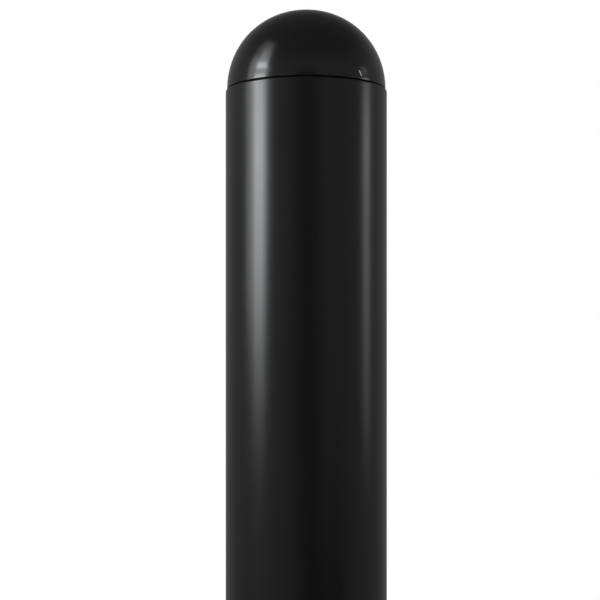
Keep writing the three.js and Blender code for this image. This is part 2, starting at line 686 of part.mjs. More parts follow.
function lidPlate() {
  const outline = roundedRectangle(-LID_HALF, LID_HALF, LID_FRONT, LID_HALF, LID_CORNER);
  const tongueHalf = KNUCKLE_LENGTH / 2;
  const tongue = block([-tongueHalf, 0, -LID_THICK], [tongueHalf, HINGE_Y, 0]);
  const end = SLOT_WIDTH / 2;
  const slotHalf = SLOT_LENGTH / 2;
  const slot = roundedRectangle(-slotHalf, slotHalf, SLOT_Y - end, SLOT_Y + end, end - 0.01);
  const barrel = crossBar(KNUCKLE_R + FIT, -LUG_END, LUG_END).translate(0, HINGE_Y, HINGE_RISE);
  const plate = join(slab(outline, -LID_THICK, 0), tongue);
  return fromHinge(cut(plate, slab(slot, -LID_THICK - 1, 1), barrel));
}

function lidGasket() {
  const bottom = -LID_THICK - GASKET_THICK;
  const top = -LID_THICK - FIT;
  const outer = GASKET_HALF + GASKET_WIDTH;
  const loop = slab(roundedRectangle(-outer, outer, -outer, outer, GASKET_WIDTH), bottom, top);
  const inner = [GASKET_HALF, GASKET_HALF, top + 1];
  return fromHinge(cut(loop, block([-GASKET_HALF, -GASKET_HALF, bottom - 1], inner)));
}

function lidKnuckle() {
  const half = KNUCKLE_LENGTH / 2;
  return cut(crossBar(KNUCKLE_R, -half, half), crossBar(PIN_R + RUN, -half - 1, half + 1));
}

// A frame lug on the +X side, about the hinge axis.
function hingeLug() {
  const foot = COLLAR_TOP + FIT - HINGE_RISE;
  const body = block([LUG_START, -KNUCKLE_R, foot], [LUG_END, KNUCKLE_R, 0]);
  const bore = crossBar(PIN_R + FIT, LUG_START - 1, LUG_END + 1);
  return cut(join(crossBar(KNUCKLE_R, LUG_START, LUG_END), body), bore);
}

function hingePin() {
  const end = LUG_END + FIT;
  const head = crossBar(PIN_HEAD_R, end, end + PIN_HEAD_THICK);
  const otherHead = crossBar(PIN_HEAD_R, -end - PIN_HEAD_THICK, -end);
  return join(crossBar(PIN_R, -end - 1, end + 1), head, otherHead);
}

// ---------- Lock pieces ----------

function lockCase() {
  const top = COLLAR_BOTTOM - FIT;
  const earHalf = CASE_HALF + CASE_EAR;
  const earBottom = top - CASE_EAR_THICK;
  const earFront = BARREL_Y - CASE_EAR_LENGTH / 2;
  const ears = block([-earHalf, earFront, earBottom], [earHalf, earFront + CASE_EAR_LENGTH, top]);
  const bores = holes(CASE_SCREW_PLACES, CASE_SCREW_R + FIT, earBottom, top);
  const noseHalf = BOLT_WIDTH / 2 + RUN;
  const pocketHalf = TAIL_HALF + RUN;
  const floor = BOLT_BOTTOM - RUN;
  const rear = POCKET_REAR - CASE_WALL;
  const body = block([-CASE_HALF, rear, CASE_BOTTOM], [CASE_HALF, -POST_R, top]);
  const pocket = block([-pocketHalf, POCKET_REAR, floor], [pocketHalf, POCKET_FRONT, top + 1]);
  const tunnel = block([-noseHalf, POCKET_REAR, floor], [noseHalf, 0, BOLT_TOP + RUN]);
  const sleeve = bar(SLEEVE_R + FIT, CASE_BOTTOM - 1, top + 1, ROUND);
  return cut(join(body, ears), pocket, tunnel, sleeve, ...bores);
}

// A socket screw with its head's underside at Z 0 and its shank upwards.
function caseScrew() {
  const length = CASE_EAR_THICK + 2 * FIT + CASE_SCREW_THREAD;
  const head = bar(CASE_SCREW_HEAD_R, -CASE_SCREW_HEAD, 0, ROUND_TINY);
  return join(head, bar(CASE_SCREW_R, -1, length, ROUND_TINY));
}

function boltKeeper() {
  const half = TAIL_HALF + RUN - FIT;
  const bottom = BOLT_TOP + RUN;
  const top = COLLAR_BOTTOM - FIT;
  const plate = block([-half, POCKET_REAR + FIT, bottom], [half, POCKET_FRONT - FIT, top]);
  const bore = bar(BARREL_R + RUN, bottom - 1, top + 1).translate(0, BARREL_Y, 0);
  const seatR = BARREL_R - CLIP_GRIP + CLIP_WIDTH + RUN;
  const clipSeat = bar(seatR, top - CLIP_THICK - 2 * RUN, top + 1).translate(0, BARREL_Y, 0);
  return cut(plate, bore, clipSeat);
}

// The bolt, drawn withdrawn.
function lockBolt() {
  const half = BOLT_WIDTH / 2;
  const nose = new THREE.Shape();
  nose.moveTo(-half, TAIL_FRONT - 1);
  nose.lineTo(half, TAIL_FRONT - 1);
  nose.lineTo(half, BOLT_TIP - BOLT_NOSE);
  nose.lineTo(half - BOLT_NOSE, BOLT_TIP);
  nose.lineTo(-half + BOLT_NOSE, BOLT_TIP);
  nose.lineTo(-half, BOLT_TIP - BOLT_NOSE);
  nose.closePath();
  const tail = block([-TAIL_HALF, TAIL_REAR, BOLT_BOTTOM], [TAIL_HALF, TAIL_FRONT, BOLT_TOP]);
  const slotLeft = STROKE / 2 - CRANK_R - CRANK_GAP;
  const slotRight = CRANK_THROW + CRANK_R + CRANK_GAP;
  const slotFrom = [slotLeft, BOLT_SLOT_Y - BOLT_SLOT_HALF, BOLT_BOTTOM - 1];
  const slot = block(slotFrom, [slotRight, BOLT_SLOT_Y + BOLT_SLOT_HALF, BOLT_TOP + 1]);
  return cut(join(slab(nose, BOLT_BOTTOM, BOLT_TOP), tail), slot);
}

// The key barrel about its own axis, with its crank pin at the withdrawn end of its throw.
function keyBarrel() {
  const top = -BARREL_SINK;
  const headBottom = top - BARREL_HEAD_THICK;
  const bottom = BOLT_TOP + RUN;
  const grooveR = BARREL_R - CLIP_GRIP - FIT;
  const grooveTop = COLLAR_BOTTOM - FIT - RUN + FIT;
  const grooveBottom = grooveTop - CLIP_THICK - 2 * FIT;
  const outline = [
    [0, bottom],
    [BARREL_R, bottom],
    [BARREL_R, grooveBottom],
    [grooveR, grooveBottom],
    [grooveR, grooveTop],
    [BARREL_R, grooveTop],
    [BARREL_R, headBottom],
    [BARREL_HEAD_R, headBottom],
    [BARREL_HEAD_R, top],
    [0, top],
  ];
  const offset = STROKE / 2;
  const crank = bar(CRANK_R, BOLT_BOTTOM + 1, bottom + 2, ROUND_TINY).translate(offset, -offset, 0);
  const socket = bar(KEY_SOCKET_R, top - KEY_SOCKET_DEPTH, top + 1, 3);
  return cut(join(revolve(outline, ROUND_SMALL), crank), socket);
}

function barrelClip() {
  const inner = BARREL_R - CLIP_GRIP;
  const top = COLLAR_BOTTOM - FIT - RUN;
  return clipRing(inner, inner + CLIP_WIDTH, top - CLIP_THICK, top);
}

// A teardrop cover about its pivot, with its disc over the barrel on the -X side.
function keyCover() {
  const discR = BARREL_HEAD_R + COVER_LAP;
  const lean = Math.asin((discR - COVER_EYE_R) / COVER_REACH); // slope of the side lines
  const side = Math.PI / 2 - lean;
  const shape = new THREE.Shape();
  shape.absarc(0, 0, COVER_EYE_R, -side, side, false);
  shape.absarc(-COVER_REACH, 0, discR, side, 2 * Math.PI - side, false);
  const plate = slab(shape, RUN, RUN + COVER_THICK, 8);
  return cut(plate, bar(RIVET_R + RUN, RUN - 1, RUN + COVER_THICK + 1, ROUND_TINY));
}

function coverRivet() {
  const headBottom = RUN + COVER_THICK + RUN;
  const outline = [
    [0, COLLAR_TOP + 1],
    [RIVET_R, COLLAR_TOP + 1],
    [RIVET_R, headBottom],
    [RIVET_HEAD_R, headBottom],
    [RIVET_HEAD_R - 1, headBottom + RIVET_HEAD_RISE * 0.75],
    [RIVET_HEAD_R - 3, headBottom + RIVET_HEAD_RISE],
    [0, headBottom + RIVET_HEAD_RISE],
  ];
  return revolve(outline, ROUND_TINY);
}

// ---------- Gas strut pieces ----------

function strutRod() {
  return bar(ROD_R, EYE_NECK_TOP + FIT, PISTON_BOTTOM - FIT);
}

function strutPiston() {
  const top = PISTON_BOTTOM + PISTON_LENGTH;
  return bar(CYLINDER_BORE_R - RUN, PISTON_BOTTOM, top);
}

function rodEye() {
  const half = EYE_THICK / 2;
  const web = EYE_WEB / 2;
  const neckBottom = CLEVIS_PIN_Z + CLEVIS_DEPTH / 2 + RUN;
  const eye = crossBar(EYE_R, -half, half).translate(0, 0, CLEVIS_PIN_Z);
  const flat = block([-half, -web, CLEVIS_PIN_Z], [half, web, neckBottom + 1]);
  const pin = crossBar(CLEVIS_PIN_R + RUN, -half - 1, half + 1).translate(0, 0, CLEVIS_PIN_Z);
  return cut(join(eye, flat, bar(EYE_NECK_R, neckBottom, EYE_NECK_TOP)), pin);
}

function baseClevis() {
  const depth = CLEVIS_DEPTH / 2;
  const inner = CLEVIS_HALF - CLEVIS_EAR;
  const bottom = BASE_TOP + FIT;
  const outer = block([-CLEVIS_HALF, -depth, bottom], [CLEVIS_HALF, depth, CLEVIS_PIN_Z]);
  const crown = crossBar(depth, -CLEVIS_HALF, CLEVIS_HALF).translate(0, 0, CLEVIS_PIN_Z);
  const roof = CLEVIS_PIN_Z + depth + 1;
  const gap = block([-inner, -depth - 1, bottom + CLEVIS_BASE], [inner, depth + 1, roof]);
  const pin = crossBar(CLEVIS_PIN_R + FIT, -CLEVIS_HALF - 1, CLEVIS_HALF + 1);
  return cut(join(outer, crown), gap, pin.translate(0, 0, CLEVIS_PIN_Z));
}

// The clevis pin about its own axis, with a groove for its clip near the +X end.
function clevisPin() {
  const end = CLEVIS_HALF + FIT;
  const head = crossBar(CLEVIS_PIN_HEAD_R, -end - 3, -end);
  const shank = crossBar(CLEVIS_PIN_R, -end - 1, end + CLEVIS_PIN_END);
  const grooveStart = end + 1;
  const grooveEnd = grooveStart + CLIP_THICK + 2 * FIT;
  const waist = crossBar(CLEVIS_PIN_R - CLIP_GRIP - FIT, grooveStart - 1, grooveEnd + 1);
  const groove = cut(crossBar(CLEVIS_PIN_R + 1, grooveStart, grooveEnd), waist);
  return cut(join(shank, head), groove);
}

function clevisClip() {
  const inner = CLEVIS_PIN_R - CLIP_GRIP;
  const left = CLEVIS_HALF + FIT + 1 + FIT;
  return clipRing(inner, inner + CLIP_WIDTH, left, left + CLIP_THICK).rotateY(Math.PI / 2);
}

// ---------- Assembly ----------

function add(group, name, geometry, material, place = [0, 0, 0]) {
  const mesh = new THREE.Mesh(geometry, material);
  mesh.name = name;
  mesh.position.set(...place);
  group.add(mesh);
  return mesh;
}

// Copies of one piece at [x, y] places, each with its own name.
function addCopies(group, name, geometry, material, places, z) {
  places.forEach(([x, y], i) => add(group, `${name}_${i + 1}`, geometry, material, [x, y, z]));
}

function makeHousing() {
  const housing = new THREE.Group();
  add(housing, "sleeve_tube", sleeveTube(), GALVANISED);
  add(housing, "collar_plate", collarPlate(), GALVANISED);
  add(housing, "frame_rim", frameRim(), GALVANISED);
  add(housing, "guide_bush", guideBush(), NYLON);
  add(housing, "wiper_seal", wiperSeal(), RUBBER);
  add(housing, "retainer_ring", retainerRing(), STAINLESS);
  const screwFace = COLLAR_TOP + FIT + RETAINER_THICK;
  const screwPlaces = circlePlaces(RETAINER_SCREWS, RETAINER_SCREW_CIRCLE);
  addCopies(housing, "retainer_screw", retainerScrew(), STAINLESS, screwPlaces, screwFace);
  add(housing, "stop_ring", stopRing(), GALVANISED);
  add(housing, "turn_rail", turnRail(), GALVANISED);
  add(housing, "base_flange", baseFlange(), GALVANISED);
  add(housing, "base_plate", basePlate(), GALVANISED);
  const boltSeat = BASE_TOP + FIT + FLANGE_THICK + FIT;
  addCopies(housing, "base_bolt", baseBolt(), STAINLESS, baseBoltPlaces(), boltSeat);
  add(housing, "landing_buffer", landingBuffer(), RUBBER);
  add(housing, "drain_socket", drainSocket(), GALVANISED);
  addAnchors(housing);
  addStrutFoot(housing);
  addHinge(housing);
  add(housing, "lock_case", lockCase(), GALVANISED);
  const caseSeat = COLLAR_BOTTOM - 2 * FIT - CASE_EAR_THICK;
  addCopies(housing, "case_screw", caseScrew(), STAINLESS, CASE_SCREW_PLACES, caseSeat);
  add(housing, "bolt_keeper", boltKeeper(), STAINLESS);
  add(housing, "cover_rivet", coverRivet(), STAINLESS, [COVER_REACH, BARREL_Y, 0]);
  return housing;
}

function addAnchors(housing) {
  const x = FRAME_HALF - ANCHOR_INSET;
  const front = FRAME_FRONT + ANCHOR_INSET;
  const rear = FRAME_REAR - ANCHOR_INSET;
  const corners = [[x, rear], [-x, rear], [-x, front], [x, front]];
  corners.forEach(([cornerX, cornerY], i) => {
    const place = [cornerX, cornerY, COLLAR_BOTTOM - FIT];
    const anchor = add(housing, `anchor_bar_${i + 1}`, anchorBar(), GALVANISED, place);
    anchor.rotation.z = Math.atan2(cornerY, cornerX);
  });
}

function addStrutFoot(housing) {
  add(housing, "base_clevis", baseClevis(), GALVANISED);
  add(housing, "clevis_pin", clevisPin(), STAINLESS, [0, 0, CLEVIS_PIN_Z]);
  add(housing, "clevis_clip", clevisClip(), STAINLESS, [0, 0, CLEVIS_PIN_Z]);
  add(housing, "rod_eye", rodEye(), STAINLESS);
  add(housing, "strut_rod", strutRod(), CHROME);
  add(housing, "strut_piston", strutPiston(), BRASS);
}

function addHinge(housing) {
  const place = [0, HINGE_Y, HINGE_RISE];
  add(housing, "hinge_lug_right", hingeLug(), GALVANISED, place);
  const left = add(housing, "hinge_lug_left", hingeLug(), GALVANISED, place);
  left.rotation.z = Math.PI;
  add(housing, "hinge_pin", hingePin(), STAINLESS, place);
}

function makeLid() {
  const lid = new THREE.Group();
  lid.position.set(0, HINGE_Y, HINGE_RISE);
  lid.rotation.x = -LID_OPEN;
  add(lid, "lid_plate", lidPlate(), STAINLESS);
  add(lid, "lid_knuckle", lidKnuckle(), STAINLESS);
  add(lid, "lid_gasket", lidGasket(), RUBBER);
  return lid;
}

function makePost() {
  const post = new THREE.Group();
  add(post, "post_tube", postTube(), BLACK_PAINT);
  add(post, "dome_cap", domeCap(), BLACK_CAP, [0, 0, DOME_FOOT]);
  add(post, "cap_o_ring", capRing(), RUBBER, [0, 0, TUBE_TOP - O_RING_DROP]);
  add(post, "strut_bulkhead", strutBulkhead(), GALVANISED);
  add(post, "strut_cylinder", strutCylinder(), BLACK_PAINT);
  add(post, "strut_gland", strutGland(), STAINLESS);
  add(post, "strut_washer", strutWasher(), STAINLESS);
  add(post, "strut_nut", strutNut(), STAINLESS);
  add(post, "foot_plate", footPlate(), GALVANISED);
  add(post, "guide_shoe", guideShoe(), NYLON);
  const places = circlePlaces(SHOE_SCREWS, SHOE_SCREW_CIRCLE);
  addCopies(post, "shoe_screw", shoeScrew(), STAINLESS, places, FOOT_BOTTOM);
  return post;
}

function makeLock() {
  const lock = new THREE.Group();
  add(lock, "lock_bolt", lockBolt(), STAINLESS);
  const key = new THREE.Group();
  key.position.set(0, BARREL_Y, 0);
  add(key, "key_barrel", keyBarrel(), BRASS);
  add(key, "barrel_clip", barrelClip(), STAINLESS);
  lock.add(key);
  add(lock, "key_cover", keyCover(), STAINLESS, [COVER_REACH, BARREL_Y, 0]);
  return lock;
}

const bollard = new THREE.Group();
bollard.add(makeHousing(), makePost(), makeLid(), makeLock());
export default bollard;
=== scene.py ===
import json
import math

import bmesh
import bpy
from mathutils import Matrix, Vector


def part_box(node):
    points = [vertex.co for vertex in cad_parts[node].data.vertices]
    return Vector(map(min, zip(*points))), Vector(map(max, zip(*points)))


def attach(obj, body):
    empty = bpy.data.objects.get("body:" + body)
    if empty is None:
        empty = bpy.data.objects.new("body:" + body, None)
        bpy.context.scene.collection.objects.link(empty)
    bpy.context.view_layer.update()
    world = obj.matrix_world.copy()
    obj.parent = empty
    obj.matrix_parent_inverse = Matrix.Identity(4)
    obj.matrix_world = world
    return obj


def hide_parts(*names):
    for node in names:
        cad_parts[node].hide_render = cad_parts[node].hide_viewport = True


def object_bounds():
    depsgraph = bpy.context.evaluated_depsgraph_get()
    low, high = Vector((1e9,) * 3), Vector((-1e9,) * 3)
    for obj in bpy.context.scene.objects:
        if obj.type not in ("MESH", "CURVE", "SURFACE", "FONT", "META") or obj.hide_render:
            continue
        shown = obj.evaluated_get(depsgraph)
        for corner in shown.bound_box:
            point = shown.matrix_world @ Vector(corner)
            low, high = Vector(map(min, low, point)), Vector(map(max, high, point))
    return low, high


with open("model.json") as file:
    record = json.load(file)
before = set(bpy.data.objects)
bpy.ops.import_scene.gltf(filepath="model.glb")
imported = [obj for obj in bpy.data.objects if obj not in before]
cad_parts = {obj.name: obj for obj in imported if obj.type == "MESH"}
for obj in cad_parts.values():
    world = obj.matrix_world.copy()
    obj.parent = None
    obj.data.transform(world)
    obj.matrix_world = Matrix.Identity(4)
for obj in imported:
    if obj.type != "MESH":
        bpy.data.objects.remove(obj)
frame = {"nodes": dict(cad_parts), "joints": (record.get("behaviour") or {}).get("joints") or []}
cad_low, cad_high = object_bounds()

MM = 0.001
WHERE_BUILT = Matrix.Identity(4)
scene = bpy.context.scene
joints = {joint["name"]: joint for joint in frame["joints"]}
# Every piece but the post's own: the three ground lights shine on these alone.
metalwork = bpy.data.collections.new("Ground metalwork")


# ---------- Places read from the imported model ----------

TUBE_LOW, TUBE_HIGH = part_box("post_tube")
POST_R = TUBE_HIGH.x
SEAM_Z = TUBE_HIGH.z
DOME_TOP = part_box("dome_cap")[1].z
SLEEVE_LOW, SLEEVE_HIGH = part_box("sleeve_tube")
SLEEVE_R = SLEEVE_HIGH.x
SLEEVE_BORE_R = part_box("stop_ring")[1].x + 0.3 * MM
RIM_LOW, RIM_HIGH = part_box("frame_rim")
COLLAR_LOW, COLLAR_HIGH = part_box("collar_plate")
HINGE = Vector(joints["lid_hinge"]["pos_m"])
BARREL = Vector(joints["key_turn"]["pos_m"])
COVER_PIVOT = Vector(joints["cover_swing"]["pos_m"])
# The lid lies folded back, half a turn about its hinge from where it shuts.
FOLD_LID = (
    Matrix.Translation(HINGE) @ Matrix.Rotation(-math.pi, 4, "X") @ Matrix.Translation(-HINGE)
)
LID_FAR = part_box("lid_plate")[1].y
LID_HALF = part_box("lid_plate")[1].x
LID_FRONT = 2 * HINGE.y - LID_FAR
CLEVIS_PIN_LOW, CLEVIS_PIN_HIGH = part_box("clevis_pin")
CLEVIS_Z = (CLEVIS_PIN_LOW.z + CLEVIS_PIN_HIGH.z) / 2
DRAIN_LOW, DRAIN_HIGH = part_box("drain_socket")
DRAIN_Z = (DRAIN_LOW.z + DRAIN_HIGH.z) / 2
BOLT_LOW, BOLT_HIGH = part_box("lock_bolt")

# Sizes that the boxes do not give.
POST_WALL = 4.5 * MM
TUBE_EDGE = 1.2 * MM
DOME_INSET = 0.95 * MM
DOME_POWER = 2.05
DOME_RISE = 55.8 * MM
DOME_WALL = 5 * MM
FIT = 0.3 * MM
WINDOW_GAP = 1 * MM
DRAIN_BORE_R = 12.5 * MM
BOLT_WIDTH = 16 * MM
HINGE_KNUCKLE_R = 6.5 * MM
# How far a cutter runs past the faces that it opens.
PAST = 1 * MM
# Sides of a turned piece: the post's own, large ones, middling ones and small ones.
POST_SIDES, LARGE_SIDES, MIDDLE_SIDES, SMALL_SIDES = 192, 128, 96, 64


# ---------- Camera ----------

# The camera stands level, fourteen post radii away and below the seam, and looks a little
# to the left of the post.
CAMERA_DISTANCE = 14 * POST_R
CAMERA_DROP = 2.59 * POST_R
TURN_LEFT = math.radians(0.32)
LENS = 67.5


def add_camera():
    camera_data = bpy.data.cameras.new("Camera")
    camera_data.lens = LENS
    camera_data.sensor_width = 36
    camera_data.clip_start = 0.01
    camera_data.clip_end = 60
    camera = bpy.data.objects.new("Camera", camera_data)
    camera.location = (0, -CAMERA_DISTANCE, SEAM_Z - CAMERA_DROP)
    camera.rotation_euler = (math.pi / 2, 0, TURN_LEFT)
    scene.collection.objects.link(camera)
    scene.camera = camera


add_camera()


# ---------- Node helpers ----------

def set_input(tree, socket, value):
    """Links a socket to another socket, or sets it to a plain value."""
    if isinstance(value, bpy.types.NodeSocket):
        tree.links.new(value, socket)
    else:
        socket.default_value = value


def add_node(tree, kind, inputs=None, **settings):
    """A node in a tree, with its settings made and its inputs set or linked by name."""
    node = tree.nodes.new(kind)
    for name, value in settings.items():
        setattr(node, name, value)
    for name, value in (inputs or {}).items():
        set_input(tree, node.inputs[name], value)
    return node


def math_node(tree, operation, *values):
    """The result of one math operation on sockets or numbers."""
    inputs = dict(enumerate(values))
    return add_node(tree, "ShaderNodeMath", inputs, operation=operation).outputs[0]


def product(tree, first, *others):
    """Sockets or numbers multiplied together, from the first on."""
    for other in others:
        first = math_node(tree, "MULTIPLY", first, other)
    return first


def held(tree, value):
    """A value kept between 0 and 1."""
    return math_node(tree, "MINIMUM", math_node(tree, "MAXIMUM", value, 0.0), 1.0)


def vector_node(tree, operation, first, second, output="Vector"):
    inputs = {0: first, 1: second}
    return add_node(tree, "ShaderNodeVectorMath", inputs, operation=operation).outputs[output]


def object_spot(tree):
    """Where a point lies on its own piece, wherever the piece has moved."""
    return add_node(tree, "ShaderNodeTexCoord").outputs["Object"]


def noise(tree, vector, scale, detail, roughness=0.5):
    inputs = {"Vector": vector, "Scale": scale, "Detail": detail, "Roughness": roughness}
    return add_node(tree, "ShaderNodeTexNoise", inputs).outputs["Fac"]


def ramp(tree, value, low, high, from_level, to_level):
    """A smooth step from one level to another, as a value goes from low to high."""
    inputs = {
        "Value": value,
        "From Min": low,
        "From Max": high,
        "To Min": from_level,
        "To Max": to_level,
    }
    return add_node(
        tree, "ShaderNodeMapRange", inputs, interpolation_type="SMOOTHSTEP"
    ).outputs[0]


def new_tree(name, kind, inputs, outputs):
    """A node group with its named sockets, each input as (kind, value) or (kind,), and
    the sockets of its input node."""
    tree = bpy.data.node_groups.new(name, kind)
    for label, (socket_kind, *value) in inputs.items():
        socket = tree.interface.new_socket(
            label, in_out="INPUT", socket_type="NodeSocket" + socket_kind
        )
        if value:
            socket.default_value = value[0]
    for label, socket_kind in outputs.items():
        tree.interface.new_socket(
            label, in_out="OUTPUT", socket_type="NodeSocket" + socket_kind
        )
    return tree, tree.nodes.new("NodeGroupInput").outputs


def end_group(tree, **outputs):
    """Ends a shader node group with what it puts out."""
    end = tree.nodes.new("NodeGroupOutput")
    for name, value in outputs.items():
        tree.links.new(value, end.inputs[name])


# ---------- Geometry node trees ----------

# Radius of the circle that an outline is drawn round; the outline is moved in by as much.
TURN_CIRCLE_R = 10 * MM


def circle_curve(tree, sides, radius):
    inputs = {"Resolution": sides, "Radius": radius}
    return add_node(tree, "GeometryNodeCurvePrimitiveCircle", inputs).outputs["Curve"]


def swept(tree, path, section, capped=False):
    """The mesh of a section drawn along a path."""
    inputs = {"Curve": path, "Profile Curve": section, "Fill Caps": capped}
    return add_node(tree, "GeometryNodeCurveToMesh", inputs).outputs["Mesh"]


def make_turning_tree():
    """Turns an outline about Z into a closed solid, its poles and its seam merged."""
    tree, given = new_tree(
        "Turn about the axis",
        "GeometryNodeTree",
        {"Outline": ("Geometry",), "Sides": ("Int", MIDDLE_SIDES), "Material": ("Material",)},
        {"Turned piece": "Geometry"},
    )
    outline = add_node(tree, "GeometryNodeMeshToCurve", {"Mesh": given["Outline"]})
    circle = circle_curve(tree, given["Sides"], TURN_CIRCLE_R)
    merged = add_node(
        tree,
        "GeometryNodeMergeByDistance",
        {"Geometry": swept(tree, circle, outline.outputs["Curve"]), "Distance": 1e-6},
    )
    end_tree(tree, merged.outputs["Geometry"], given["Material"])
    return tree


def end_tree(tree, geometry, material):
    """Every tree ends in Realize Instances and Set Material."""
    real = add_node(tree, "GeometryNodeRealizeInstances", {"Geometry": geometry})
    painted = add_node(
        tree,
        "GeometryNodeSetMaterial",
        {"Geometry": real.outputs["Geometry"], "Material": material},
    )
    end = tree.nodes.new("NodeGroupOutput")
    tree.links.new(painted.outputs["Geometry"], end.inputs[0])


def make_circle_tree():
    """Copies of one shape round a circle, such as screws, ribs or the ripples of a weld."""
    tree, given = new_tree(
        "Copies round a circle",
        "GeometryNodeTree",
        {
            "Shape": ("Geometry",),
            "Count": ("Int", 4),
            "Circle radius": ("Float", 0.05),
            "First angle": ("Float", math.pi / 4),
            "Sweep": ("Float", 2 * math.pi),
            "Turn spread": ("Float", 0.0),
            "Size spread": ("Float", 0.0),
            "Seed": ("Int", 1),
            "Material": ("Material",),
        },
        {"Copies": "Geometry"},
    )
    index = add_node(tree, "GeometryNodeInputIndex").outputs[0]
    step = math_node(tree, "DIVIDE", given["Sweep"], given["Count"])
    angle = math_node(tree, "MULTIPLY_ADD", index, step, given["First angle"])
    place = add_node(
        tree,
        "ShaderNodeCombineXYZ",
        {
            "X": product(tree, math_node(tree, "COSINE", angle), given["Circle radius"]),
            "Y": product(tree, math_node(tree, "SINE", angle), given["Circle radius"]),
        },
    )
    points = add_node(
        tree, "GeometryNodePoints", {"Count": given["Count"], "Position": place.outputs[0]}
    )
    least_turn = product(tree, given["Turn spread"], -1.0)
    turn = random_number(tree, least_turn, given["Turn spread"], given["Seed"])
    facing = add_node(tree, "ShaderNodeCombineXYZ", {"Z": math_node(tree, "ADD", angle, turn)})
    least_size = math_node(tree, "SUBTRACT", 1.0, given["Size spread"])
    copies = add_node(
        tree,
        "GeometryNodeInstanceOnPoints",
        {
            "Points": points.outputs[0],
            "Instance": given["Shape"],
            "Rotation": facing.outputs[0],
            "Scale": random_number(tree, least_size, 1.0, given["Seed"]),
        },
    )
    end_tree(tree, copies.outputs["Instances"], given["Material"])
    return tree


def random_number(tree, lowest, highest, seed):
    node = add_node(tree, "FunctionNodeRandomValue", {"Seed": seed}, data_type="FLOAT")
    # The float pair of this node's inputs is its second pair.
    set_input(tree, node.inputs[2], lowest)
    set_input(tree, node.inputs[3], highest)
    return node.outputs[1]


def make_tread_tree():
    """Raised lugs in rows, each leaning the other way from its neighbours, off the lift slot."""
    tree, given = new_tree(
        "Tread lugs",
        "GeometryNodeTree",
        {
            "Lug": ("Geometry",),
            "Columns": ("Int", 7),
            "Rows": ("Int", 7),
            "Pitch": ("Float", 0.02),
            "Centre": ("Vector",),
            "Slot half width": ("Float", 0.02),
            "Slot end": ("Float", 0.0),
            "Material": ("Material",),
        },
        {"Lugs": "Geometry"},
    )
    across = math_node(tree, "SUBTRACT", given["Columns"], 1.0)
    along = math_node(tree, "SUBTRACT", given["Rows"], 1.0)
    grid = add_node(
        tree,
        "GeometryNodeMeshGrid",
        {
            "Size X": product(tree, across, given["Pitch"]),
            "Size Y": product(tree, along, given["Pitch"]),
            "Vertices X": given["Columns"],
            "Vertices Y": given["Rows"],
        },
    )
    index = add_node(tree, "GeometryNodeInputIndex").outputs[0]
    column = math_node(tree, "FLOOR", math_node(tree, "DIVIDE", index, given["Rows"]))
    row = math_node(tree, "MODULO", index, given["Rows"])
    lean = math_node(tree, "MODULO", math_node(tree, "ADD", column, row), 2.0)
    turn = math_node(tree, "MULTIPLY_ADD", lean, math.pi / 2, math.pi / 4)
    facing = add_node(tree, "ShaderNodeCombineXYZ", {"Z": turn})
    placed = add_node(
        tree,
        "GeometryNodeTransform",
        {"Geometry": grid.outputs["Mesh"], "Translation": given["Centre"]},
    )
    lugs = add_node(
        tree,
        "GeometryNodeInstanceOnPoints",
        {
            "Points": placed.outputs["Geometry"],
            "Instance": given["Lug"],
            "Rotation": facing.outputs[0],
        },
    )
    position = add_node(tree, "GeometryNodeInputPosition")
    axes = add_node(tree, "ShaderNodeSeparateXYZ", {"Vector": position.outputs[0]}).outputs
    beside = math_node(
        tree, "LESS_THAN", math_node(tree, "ABSOLUTE", axes["X"]), given["Slot half width"]
    )
    before = math_node(tree, "LESS_THAN", axes["Y"], given["Slot end"])
    kept = add_node(
        tree,
        "GeometryNodeDeleteGeometry",
        {
            "Geometry": lugs.outputs["Instances"],
            "Selection": product(tree, beside, before),
        },
        domain="INSTANCE",
    )
    end_tree(tree, kept.outputs["Geometry"], given["Material"])
    return tree


def make_ribbed_bar_tree():
    """A round bar along a path, with ribs across it at a pitch and closed ends."""
    tree, given = new_tree(
        "Ribbed bar",
        "GeometryNodeTree",
        {
            "Path": ("Geometry",),
            "Bar radius": ("Float", 5 * MM),
            "Rib radius": ("Float", 0.6 * MM),
            "Rib pitch": ("Float", 6 * MM),
            "Rib lean": ("Float", 0.5),
            "Material": ("Material",),
        },
        {"Bar": "Geometry"},
    )
    bar_sides, rib_sides = 20, 6
    path = add_node(tree, "GeometryNodeMeshToCurve", {"Mesh": given["Path"]}).outputs["Curve"]
    round_bar = circle_curve(tree, bar_sides, given["Bar radius"])
    bar = swept(tree, path, round_bar, capped=True)
    rib = swept(tree, round_bar, circle_curve(tree, rib_sides, given["Rib radius"]))
    lean = add_node(tree, "ShaderNodeCombineXYZ", {"X": given["Rib lean"]})
    leaning = add_node(
        tree, "GeometryNodeTransform", {"Geometry": rib, "Rotation": lean.outputs[0]}
    )
    stations = add_node(
        tree,
        "GeometryNodeCurveToPoints",
        {"Curve": path, "Length": given["Rib pitch"]},
        mode="LENGTH",
    )
    ribs = add_node(
        tree,
        "GeometryNodeInstanceOnPoints",
        {
            "Points": stations.outputs["Points"],
            "Instance": leaning.outputs["Geometry"],
            "Rotation": stations.outputs["Rotation"],
        },
    )
    both = add_node(tree, "GeometryNodeJoinGeometry")
    for geometry in (bar, ribs.outputs["Instances"]):
        tree.links.new(geometry, both.inputs["Geometry"])
    end_tree(tree, both.outputs["Geometry"], given["Material"])
    return tree


def hold(mesh):
    """An object that holds a mesh while modifiers work on it."""
    holder = bpy.data.objects.new("holder", mesh)
    scene.collection.objects.link(holder)
    return holder


